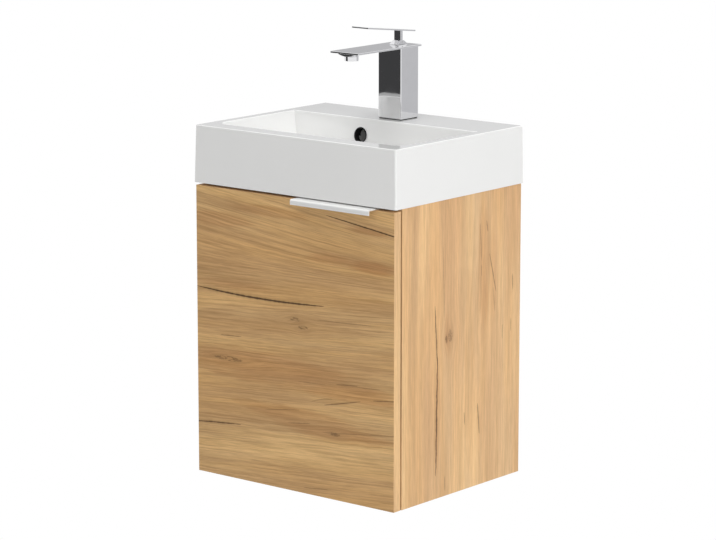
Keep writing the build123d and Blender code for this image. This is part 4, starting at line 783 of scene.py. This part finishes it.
whitePlastic = speckledMaterial(
    "whitePlastic", (0.80, 0.80, 0.78, 1), 0.34, 0.05, size=2200, patch=40, tintBy=0.03, bump=0.08
)
blackRubber = speckledMaterial(
    "blackRubber", (0.028, 0.028, 0.028, 1), 0.72, 0.08, size=3000, patch=70, tintBy=0.3, bump=0.2
)
clearBumper = speckledMaterial(
    "clearBumper", (0.74, 0.74, 0.71, 1), 0.28, 0.05, size=1200, patch=60, tintBy=0.05, bump=0.05,
    Transmission_Weight=0.35,
)
# near black: painted shade for the inside of the overflow's hole and duct and the ring's bore
paintedShadePassage = speckledMaterial(
    "paintedShadePassage", (0.012, 0.012, 0.012, 1), 0.80, 0.05, size=1200, patch=60, tintBy=0.3, bump=0.1,
    Specular_IOR_Level=0.1,
)
beech = oakMaterial(
    "beechDowel", "XYZ", ((0.74, 0.56, 0.36, 1), (0.66, 0.47, 0.28, 1), (0.48, 0.31, 0.17, 1)), rings=0.0
)
print("other materials built")


# pieces from the CAD nodes: merged, edges eased, given their material

bodyPieces = {
    "outer_links": ["upper_outer_link", "lower_outer_link"],
    "door": [
        "door_panel", "handle", "handle_screws", "door_bumpers", "upper_hinge_cup", "lower_hinge_cup",
        "cup_screws", "cup_pins",
    ],
    "inner_links": ["upper_inner_link", "lower_inner_link"],
    "mixer_turret": ["lever_collar", "lever_pin"],
    "mixer_lever": ["lever"],
    "plug": ["waste_plug"],
}

slotMaterials = {
    "beech_dowel": beech,
    "ceramic": glaze,
    "chrome": chrome,
    "satin_aluminium": satinAluminium,
    "steel": nickelSteel,
    "zinc": zincCast,
    "brass": brass,
    "white_plastic": whitePlastic,
    "black_rubber": blackRubber,
    "clear_bumper": clearBumper,
}

overflowSettings = {
    "low": (-0.0560, -0.1045, 0.0600),
    "high": (-0.0280, -0.0720, 0.1240),
    "axis": (-0.042, 0.1086),
    "reach": 0.0123,
    "largestFace": 0.004,
}

ribSettings = {
    "waste_nut": {"axis": 2, "radius": 0.030, "depth": 0.0006, "bars": 44, "width": 0.0022, "length": 0.0100},
    "trap_inlet_nut": {"axis": 2, "radius": 0.026, "depth": 0.0006, "bars": 40, "width": 0.0021, "length": 0.0150},
    "trap_outlet_nut": {"axis": 1, "radius": 0.022, "depth": 0.0006, "bars": 36, "width": 0.0019, "length": 0.0170},
    "trap_cup": {
        "axis": 2, "radius": 0.030, "depth": 0.0006, "bars": 44, "width": 0.0022, "length": 0.0050, "level": -0.1055,
    },
}

threadSettings = {
    "tap_stud": {"axis": 2, "radius": 0.004, "depth": 0.0006, "pitch": 0.00125, "start": 0.0945},
    "waste_body": {"axis": 2, "radius": 0.0208, "depth": 0.0007, "pitch": 0.0023, "start": 0.0065, "top": 0.0505},
}

threadHeight = 1.6  # of the depth turned off the shank, so that the ridge roots are sunk
sinkRange = 6e-5

slotOfNode = {entry["node"]: entry["material_slot"] for entry in frame["record"]["subparts"]}
bodyOfNode = {name: body for body, names in bodyPieces.items() for name in names}

mergeRange = 2e-6
levelRange = 1e-5
flatAngle = 0.4


def cleanCopy(node):
    # the node's triangles joined, and flat faces made whole again
    bm = bmesh.new()
    bm.from_mesh(nodes[node].data)
    bmesh.ops.remove_doubles(bm, verts=bm.verts, dist=mergeRange)
    bmesh.ops.dissolve_limit(bm, angle_limit=math.radians(flatAngle), verts=bm.verts, edges=bm.edges)
    mesh = bpy.data.meshes.new(node + "Mesh")
    bm.to_mesh(mesh)
    bm.free()
    return mesh


def middleOf(node):
    low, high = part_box(node)
    return (Vector(low) + Vector(high)) / 2


def addPiece(name, mesh):
    piece = bpy.data.objects.new(name, mesh)
    scene.collection.objects.link(piece)
    return piece


def finishPiece(piece, body, slot, *replaced):
    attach(piece, body)
    if replaced:
        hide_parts(*replaced)
    return piece


def settle(piece):
    # the modifiers' result becomes the piece's own mesh
    graph = bpy.context.evaluated_depsgraph_get()
    mesh = bpy.data.meshes.new_from_object(piece.evaluated_get(graph))
    piece.modifiers.clear()
    piece.data = mesh
    return piece


def shadeByAngle(piece, angle=30):
    bm = bmesh.new()
    bm.from_mesh(piece.data)
    for face in bm.faces:
        face.smooth = True
    for edge in bm.edges:
        edge.smooth = not (edge.is_manifold and edge.calc_face_angle(0) > math.radians(angle))
    bm.to_mesh(piece.data)
    bm.free()
    return piece


edgeSettings = {"segments": 2, "angle": 28, "normalWeight": 80}


def easeEdges(piece, width):
    if width:
        for polygon in piece.data.polygons:
            polygon.use_smooth = True
        bevel = piece.modifiers.new("edges", "BEVEL")
        bevel.width = width
        bevel.segments = edgeSettings["segments"]
        bevel.limit_method = "ANGLE"
        bevel.angle_limit = math.radians(edgeSettings["angle"])
        bevel.use_clamp_overlap = False
        bevel.miter_outer = "MITER_ARC"
    else:
        shadeByAngle(piece, edgeSettings["angle"])
    even = piece.modifiers.new("evenNormals", "WEIGHTED_NORMAL")
    even.mode = "FACE_AREA"
    even.weight = edgeSettings["normalWeight"]
    even.keep_sharp = True
    return settle(piece)


def paintShadeInside(mesh):
    # faces in the overflow's hole and duct, and the bore of its ring, get a near-black material: painted shade for
    # the hollow
    mesh.materials.append(paintedShadePassage)
    low, high = overflowSettings["low"], overflowSettings["high"]
    axisX, axisZ = overflowSettings["axis"]
    for polygon in mesh.polygons:
        x, y, z = polygon.center
        inside = all(a < value < b for a, value, b in zip(low, (x, y, z), high))
        small = polygon.area < overflowSettings["largestFace"]
        if inside and small and math.hypot(x - axisX, z - axisZ) < overflowSettings["reach"]:
            polygon.material_index = 1


def turnDown(mesh, axis, centre, radius, depth, top=None):
    # takes a thread's or rib's height off a round face, up to the level given
    bm = bmesh.new()
    bm.from_mesh(mesh)
    if top is not None:
        place = [0, 0, 0]
        place[axis] = top
        normal = [0, 0, 0]
        normal[axis] = 1
        geometry = bm.verts[:] + bm.edges[:] + bm.faces[:]
        bmesh.ops.bisect_plane(bm, geom=geometry, plane_co=place, plane_no=normal)
    others = [i for i in range(3) if i != axis]
    for vert in bm.verts:
        offset = [vert.co[i] - centre[i] for i in others]
        reach = math.hypot(*offset)
        if abs(reach - radius) < sinkRange and (top is None or vert.co[axis] < top + mergeRange):
            for i, value in zip(others, offset):
                vert.co[i] = centre[i] + value * (radius - depth) / reach
    bm.to_mesh(mesh)
    bm.free()


def dress(node, width):
    piece = addPiece(node + "_dressed", cleanCopy(node))
    piece.data.materials.clear()
    piece.data.materials.append(slotMaterials[slotOfNode[node]])
    # painted shade inside the overflow's hole and the ring's bore
    if node in ("basin", "overflow_ring"):
        paintShadeInside(piece.data)
    if node in ribSettings or node in threadSettings:
        values = ribSettings.get(node) or threadSettings[node]
        turnDown(piece.data, values["axis"], middleOf(node), values["radius"], values["depth"], values.get("top"))
    easeEdges(piece, width)
    return finishPiece(piece, bodyOfNode.get(node, "cabinet"), slotOfNode[node], node)


# geometry nodes: trees with named inputs, turned into plain meshes

def newGeometryTree(name, inputs):
    tree = bpy.data.node_groups.new(name, "GeometryNodeTree")
    tree.interface.new_socket(name="Geometry", in_out="INPUT", socket_type="NodeSocketGeometry")
    kinds = {"f": "NodeSocketFloat", "i": "NodeSocketInt", "v": "NodeSocketVector", "m": "NodeSocketMaterial"}
    for label, kind, value in inputs:
        socket = tree.interface.new_socket(name=label, in_out="INPUT", socket_type=kinds[kind])
        if value is not None:
            socket.default_value = value
    tree.interface.new_socket(name="Geometry", in_out="OUTPUT", socket_type="NodeSocketGeometry")
    given = tree.nodes.new("NodeGroupInput").outputs
    made = tree.nodes.new("NodeGroupOutput").inputs
    return tree, given, made


def closeTree(tree, given, made, geometry):
    realized = addNode(tree, "GeometryNodeRealizeInstances")
    tree.links.new(geometry, realized.inputs[0])
    painted = addNode(tree, "GeometryNodeSetMaterial")
    tree.links.new(realized.outputs[0], painted.inputs["Geometry"])
    tree.links.new(given["Material"], painted.inputs["Material"])
    tree.links.new(painted.outputs[0], made["Geometry"])
    return tree


def shape(tree, kind, **values):
    node = addNode(tree, kind)
    for name, value in values.items():
        wire(tree, value, node.inputs[name.replace("_", " ")])
    return node.outputs["Mesh"]


def raised(tree, geometry, height):
    node = addNode(tree, "GeometryNodeTransform")
    tree.links.new(geometry, node.inputs["Geometry"])
    wire(tree, joinVector(tree, 0.0, 0.0, height), node.inputs["Translation"])
    return node.outputs[0]


def joined(tree, *parts):
    node = addNode(tree, "GeometryNodeJoinGeometry")
    for part in parts:
        tree.links.new(part, node.inputs[0])
    return node.outputs[0]


def placed(tree, points, instance, turn=None):
    node = addNode(tree, "GeometryNodeInstanceOnPoints")
    tree.links.new(points, node.inputs["Points"])
    tree.links.new(instance, node.inputs["Instance"])
    if turn is not None:
        wire(tree, turn, node.inputs["Rotation"])
    return node.outputs[0]


def aimedAt(tree, vector, axis):
    node = addNode(tree, "FunctionNodeAlignRotationToVector", axis=axis)
    tree.links.new(vector, node.inputs["Vector"])
    return node.outputs[0]


def grown(name, tree, points, material, values):
    # the tree's result on these points, as a plain mesh object
    mesh = bpy.data.meshes.new(name + "Points")
    mesh.from_pydata([tuple(point) for point in points], [], [])
    piece = addPiece(name, mesh)
    modifier = piece.modifiers.new("made", "NODES")
    modifier.node_group = tree
    names = {item.name: item.identifier for item in tree.interface.items_tree if item.in_out == "INPUT"}
    modifier[names["Material"]] = material
    for label, value in values.items():
        modifier[names[label]] = value
    return settle(piece)


screwShares = {
    "core": 0.74,  # of the shank's radius
    "tip": 1.6,
    "recessWidth": 0.55,  # of the recess's size
    "recessSpan": 3.0,
    "recessDepth": 1.5,
    "ridge": 0.32,  # of the pitch
    "tipRadius": 0.0001,
    "headSides": 36,
    "shankSides": 24,
}


def buildScrewTree(shares):
    # a countersunk screw that points along Direction, with a cross recess and thread ridges
    tree, given, made = newGeometryTree(
        "crossScrew",
        [
            ("Head Radius", "f", 0.0033),
            ("Head Height", "f", 0.0018),
            ("Shank Radius", "f", 0.00175),
            ("Length", "f", 0.012),
            ("Pitch", "f", 0.0012),
            ("Recess", "f", 0.0012),
            ("Direction", "v", (0, 0, 1)),
            ("Material", "m", None),
        ],
    )
    # drawn with the head's face at zero and the tip towards +Z
    core = calc(tree, "MULTIPLY", given["Shank Radius"], shares["core"])
    tipLength = calc(tree, "MULTIPLY", given["Shank Radius"], shares["tip"])
    cone = shape(
        tree,
        "GeometryNodeMeshCone",
        Vertices=shares["headSides"],
        Radius_Top=core,
        Radius_Bottom=given["Head Radius"],
        Depth=given["Head Height"],
    )
    slotWidth = calc(tree, "MULTIPLY", given["Recess"], shares["recessWidth"])
    slotSpan = calc(tree, "MULTIPLY", given["Recess"], shares["recessSpan"])
    slotDepth = calc(tree, "MULTIPLY", given["Recess"], shares["recessDepth"])
    first = shape(tree, "GeometryNodeMeshCube", Size=joinVector(tree, slotWidth, slotSpan, slotDepth))
    second = shape(tree, "GeometryNodeMeshCube", Size=joinVector(tree, slotSpan, slotWidth, slotDepth))
    cut = addNode(tree, "GeometryNodeMeshBoolean", operation="DIFFERENCE")
    tree.links.new(cone, cut.inputs[0])
    tree.links.new(first, cut.inputs[1])
    tree.links.new(second, cut.inputs[1])
    bodyLength = calc(tree, "SUBTRACT", given["Length"], tipLength)
    shankLength = calc(tree, "SUBTRACT", bodyLength, given["Head Height"])
    sides = shares["shankSides"]
    body = shape(tree, "GeometryNodeMeshCylinder", Vertices=sides, Radius=core, Depth=shankLength)
    half = calc(tree, "MULTIPLY_ADD", shankLength, 0.5, given["Head Height"])
    body = raised(tree, body, half)
    point = shares["tipRadius"]
    tip = shape(tree, "GeometryNodeMeshCone", Vertices=sides, Radius_Top=point, Radius_Bottom=core, Depth=tipLength)
    tip = raised(tree, tip, bodyLength)
    crest = given["Shank Radius"]
    half = calc(tree, "MULTIPLY", given["Pitch"], shares["ridge"])
    lower = shape(tree, "GeometryNodeMeshCone", Vertices=sides, Radius_Top=crest, Radius_Bottom=core, Depth=half)
    upper = shape(tree, "GeometryNodeMeshCone", Vertices=sides, Radius_Top=core, Radius_Bottom=crest, Depth=half)
    ridge = joined(tree, lower, raised(tree, upper, half))
    start = calc(tree, "ADD", given["Head Height"], calc(tree, "MULTIPLY", given["Pitch"], 0.5))
    count = calc(tree, "DIVIDE", calc(tree, "SUBTRACT", bodyLength, start), given["Pitch"])
    line = addNode(tree, "GeometryNodeMeshLine", mode="OFFSET")
    tree.links.new(count, line.inputs["Count"])
    wire(tree, joinVector(tree, 0.0, 0.0, start), line.inputs["Start Location"])
    wire(tree, joinVector(tree, 0.0, 0.0, given["Pitch"]), line.inputs["Offset"])
    ridges = placed(tree, line.outputs[0], ridge)
    screw = joined(tree, cut.outputs[0], body, tip, ridges)
    aim = aimedAt(tree, given["Direction"], "Z")
    return closeTree(tree, given, made, placed(tree, given["Geometry"], screw, aim))


def buildRingTree():
    # bars set round a ring, as the grip ribs of a nut
    tree, given, made = newGeometryTree(
        "barsRound",
        [
            ("Radius", "f", 0.02),
            ("Count", "i", 24),
            ("Width", "f", 0.001),
            ("Depth", "f", 0.001),
            ("Height", "f", 0.01),
            ("Direction", "v", (0, 0, 1)),
            ("Material", "m", None),
        ],
    )
    circle = addNode(tree, "GeometryNodeMeshCircle")
    tree.links.new(given["Count"], circle.inputs["Vertices"])
    tree.links.new(given["Radius"], circle.inputs["Radius"])
    position = addNode(tree, "GeometryNodeInputPosition")
    outward = aimedAt(tree, position.outputs[0], "X")
    bar = shape(
        tree,
        "GeometryNodeMeshCylinder",
        Vertices=10,
        Radius=calc(tree, "MULTIPLY", given["Width"], 0.5),
        Depth=given["Height"],
    )
    flattened = addNode(tree, "GeometryNodeTransform")
    tree.links.new(bar, flattened.inputs["Geometry"])
    ratio = calc(tree, "DIVIDE", given["Depth"], calc(tree, "MULTIPLY", given["Width"], 0.5))
    wire(tree, joinVector(tree, ratio, 1.0, 1.0), flattened.inputs["Scale"])
    bars = placed(tree, circle.outputs[0], flattened.outputs[0], outward)
    aim = aimedAt(tree, given["Direction"], "Z")
    return closeTree(tree, given, made, placed(tree, given["Geometry"], bars, aim))


def buildThreadTree():
    # a helical thread of diamond section, rising along Direction from each point
    tree, given, made = newGeometryTree(
        "helixThread",
        [
            ("Radius", "f", 0.02),
            ("Turns", "f", 8.0),
            ("Pitch", "f", 0.002),
            ("Depth", "f", 0.0006),
            ("Direction", "v", (0, 0, 1)),
            ("Material", "m", None),
        ],
    )
    spiral = addNode(tree, "GeometryNodeCurveSpiral")
    spiral.inputs["Resolution"].default_value = 36
    tree.links.new(given["Turns"], spiral.inputs["Rotations"])
    mean = calc(tree, "SUBTRACT", given["Radius"], calc(tree, "MULTIPLY", given["Depth"], 0.5))
    tree.links.new(mean, spiral.inputs["Start Radius"])
    tree.links.new(mean, spiral.inputs["End Radius"])
    tree.links.new(calc(tree, "MULTIPLY", given["Turns"], given["Pitch"]), spiral.inputs["Height"])
    section = addNode(tree, "GeometryNodeCurvePrimitiveCircle")
    section.inputs["Resolution"].default_value = 4
    tree.links.new(calc(tree, "MULTIPLY", given["Depth"], 0.5), section.inputs["Radius"])
    swept = addNode(tree, "GeometryNodeCurveToMesh")
    tree.links.new(spiral.outputs[0], swept.inputs["Curve"])
    tree.links.new(section.outputs[0], swept.inputs["Profile Curve"])
    swept.inputs["Fill Caps"].default_value = True
    aim = aimedAt(tree, given["Direction"], "Z")
    return closeTree(tree, given, made, placed(tree, given["Geometry"], swept.outputs[0], aim))


crossScrew = buildScrewTree(screwShares)
barsRound = buildRingTree()
helixThread = buildThreadTree()


def solidsOf(node):
    # low corner, high corner and points of each loose solid of a node
    bm = bmesh.new()
    bm.from_mesh(nodes[node].data)
    bmesh.ops.remove_doubles(bm, verts=bm.verts, dist=mergeRange)
    found = []
    left = set(bm.verts)
    while left:
        island = [left.pop()]
        for vert in island:
            for edge in vert.link_edges:
                other = edge.other_vert(vert)
                if other in left:
                    left.discard(other)
                    island.append(other)
        points = [vert.co.copy() for vert in island]
        low = Vector([min(point[i] for point in points) for i in range(3)])
        high = Vector([max(point[i] for point in points) for i in range(3)])
        found.append((low, high, points))
    bm.free()
    return sorted(found, key=lambda item: tuple(item[0]))


# screws

screwSettings = {
    # node: axis, pitch, recess
    "plate_screws": (0, 0.0016, 0.0016),
    "cup_screws": (1, 0.0012, 0.0013),
    "handle_screws": (1, 0.0012, 0.0013),
    "hanger_screws": (0, 0.0014, 0.0015),
}


def screwPlace(points, low, high, axis):
    # the head is the end with the wider rim
    middle = (low + high) / 2
    others = [i for i in range(3) if i != axis]

    def reach(level):
        near = [p for p in points if abs(p[axis] - level) < levelRange]
        return max(math.hypot(p[others[0]] - middle[others[0]], p[others[1]] - middle[others[1]]) for p in near)

    atLow, atHigh = reach(low[axis]), reach(high[axis])
    head = middle.copy()
    direction = Vector((0, 0, 0))
    head[axis], direction[axis] = (low[axis], 1) if atLow > atHigh else (high[axis], -1)
    return head, direction, max(atLow, atHigh), min(atLow, atHigh)


def makeScrews(node, axis, pitch, recess):
    groups = {}
    for low, high, points in solidsOf(node):
        head, direction, headRadius, shankRadius = screwPlace(points, low, high, axis)
        key = tuple(round(value, 5) for value in (*direction, headRadius, shankRadius, high[axis] - low[axis]))
        groups.setdefault(key, []).append(head)
    made = []
    for (dx, dy, dz, headRadius, shankRadius, length), heads in groups.items():
        values = {
            "Head Radius": headRadius,
            "Head Height": headRadius - shankRadius,
            "Shank Radius": shankRadius,
            "Length": length,
            "Pitch": pitch,
            "Recess": recess,
            "Direction": (dx, dy, dz),
        }
        made.append(grown(node + "_part", crossScrew, heads, nickelSteel, values))
    piece = made[0]
    if len(made) > 1:
        bm = bmesh.new()
        for part in made:
            bm.from_mesh(part.data)
        bm.to_mesh(piece.data)
        bm.free()
        for part in made[1:]:
            bpy.data.objects.remove(part)
    piece.name = node + "_detailed"
    shadeByAngle(piece)
    return finishPiece(piece, bodyOfNode.get(node, "cabinet"), "steel", node)


madeNodes = set(screwSettings)
for node, (axis, pitch, recess) in screwSettings.items():
    makeScrews(node, axis, pitch, recess)
print("screws made:", len(screwSettings))


# ribs and threads that stand on a CAD piece, and the jet's sieve

def addDetail(name, tree, point, material, slot, values):
    piece = grown(name, tree, [point], material, values)
    shadeByAngle(piece)
    return finishPiece(piece, "cabinet", slot)


def buildLatticeTree():
    # the jet's outlet: a round sieve of crossing wires
    tree, given, made = newGeometryTree(
        "wireSieve",
        [("Radius", "f", 0.007), ("Lines", "i", 15), ("Wire", "f", 0.00016), ("Material", "m", None)],
    )
    span = calc(tree, "MULTIPLY", given["Radius"], 2.0)
    grid = addNode(tree, "GeometryNodeMeshGrid")
    for label in ("X", "Y"):
        wire(tree, span, grid.inputs["Size " + label])
        wire(tree, given["Lines"], grid.inputs["Vertices " + label])
    x, y, _ = splitVector(tree, addNode(tree, "GeometryNodeInputPosition").outputs[0])
    square = calc(tree, "ADD", calc(tree, "MULTIPLY", x, x), calc(tree, "MULTIPLY", y, y))
    outside = calc(tree, "GREATER_THAN", calc(tree, "SQRT", square), given["Radius"])
    cut = addNode(tree, "GeometryNodeDeleteGeometry", domain="POINT")
    tree.links.new(grid.outputs[0], cut.inputs["Geometry"])
    tree.links.new(outside, cut.inputs["Selection"])
    lines = addNode(tree, "GeometryNodeMeshToCurve")
    tree.links.new(cut.outputs[0], lines.inputs[0])
    section = addNode(tree, "GeometryNodeCurvePrimitiveCircle")
    section.inputs["Resolution"].default_value = 6
    tree.links.new(given["Wire"], section.inputs["Radius"])
    swept = addNode(tree, "GeometryNodeCurveToMesh")
    tree.links.new(lines.outputs[0], swept.inputs["Curve"])
    tree.links.new(section.outputs[0], swept.inputs["Profile Curve"])
    return closeTree(tree, given, made, placed(tree, given["Geometry"], swept.outputs[0]))


wireSieve = buildLatticeTree()


def alongAxis(axis):
    return tuple(float(i == axis) for i in range(3))


for node, rib in ribSettings.items():
    middle = middleOf(node)
    middle[rib["axis"]] = rib.get("level", middle[rib["axis"]])
    values = {
        "Radius": rib["radius"] - rib["depth"],
        "Count": rib["bars"],
        "Width": rib["width"],
        "Depth": rib["depth"],
        "Height": rib["length"],
        "Direction": alongAxis(rib["axis"]),
    }
    addDetail(node + "_ribs", barsRound, middle, slotMaterials[slotOfNode[node]], slotOfNode[node], values)
print("ribs made:", len(ribSettings))

for node, thread in threadSettings.items():
    axis, pitch = thread["axis"], thread["pitch"]
    end = thread["top"] - pitch if "top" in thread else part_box(node)[1][axis] - pitch / 2
    foot = middleOf(node)
    foot[axis] = thread["start"]
    values = {
        "Radius": thread["radius"],
        "Turns": (end - thread["start"]) / pitch,
        "Pitch": pitch,
        "Depth": thread["depth"] * threadHeight,
        "Direction": alongAxis(axis),
    }
    addDetail(node + "_thread", helixThread, foot, slotMaterials[slotOfNode[node]], slotOfNode[node], values)
print("threads made:", len(threadSettings))

sieveSettings = {"radius": 0.0072, "lines": 17, "wire": 0.00014}

sieveMiddle = middleOf("aerator_insert")
sieveMiddle.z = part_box("aerator_insert")[0][2] - sieveSettings["wire"] / 2
values = {"Radius": sieveSettings["radius"], "Lines": sieveSettings["lines"], "Wire": sieveSettings["wire"]}
addDetail("aerator_sieve", wireSieve, sieveMiddle, nickelSteel, "steel", values)
print("sieve made")


# boards: faces of the print, and banded edges

boardSettings = {
    # node: face axis, face material, edge materials by axis
    "side_left": ("X", sideOak, {"Y": uprightBand, "Z": uprightBand}),
    "side_right": ("X", sideOak, {"Y": uprightBand, "Z": uprightBand}),
    "bottom_panel": ("Z", levelOak, {"X": levelBand, "Y": levelBand}),
    "front_rail": ("Z", levelOak, {"X": levelBand, "Y": levelBand}),
    "back_rail_top": ("Y", levelOak, {"X": levelBand, "Z": levelBand}),
    "back_rail_bottom": ("Y", levelOak, {"X": levelBand, "Z": levelBand}),
    "shelf": ("Z", levelOak, {"X": levelBand, "Y": levelBand}),
    "door_panel": ("Y", doorOak, {"X": uprightBand, "Z": levelBand}),
}

boardEdge = 0.0004


def dressBoard(node, faceAxis, faceMaterial, bandMaterials):
    piece = addPiece(node + "_dressed", cleanCopy(node))
    mesh = piece.data
    mesh.materials.clear()
    mesh.materials.append(faceMaterial)
    order = {}
    for axis, material in bandMaterials.items():
        order["XYZ".index(axis)] = len(mesh.materials)
        mesh.materials.append(material)
    face = "XYZ".index(faceAxis)
    for polygon in mesh.polygons:
        main = max(range(3), key=lambda i: abs(polygon.normal[i]))
        polygon.material_index = 0 if main == face else order.get(main, 0)
    easeEdges(piece, boardEdge)
    return finishPiece(piece, bodyOfNode.get(node, "cabinet"), "oak_board", node)


for node, (faceAxis, faceMaterial, bands) in boardSettings.items():
    dressBoard(node, faceAxis, faceMaterial, bands)
print("boards dressed:", len(boardSettings))


edgeWidths = {
    "basin": 0.0,
    "tap_body": 0.0004,
    "lever": 0.0003,
    "handle": 0.00025,
    "overflow_ring": 0.00025,
    "lever_collar": 0.0003,
    "trap_cup": 0.0004,
}

usualEdge = 0.00025

for node in nodes:
    if node not in boardSettings and node not in madeNodes:
        dress(node, edgeWidths.get(node, usualEdge))
print("other pieces dressed:", len(nodes) - len(boardSettings) - len(madeNodes))
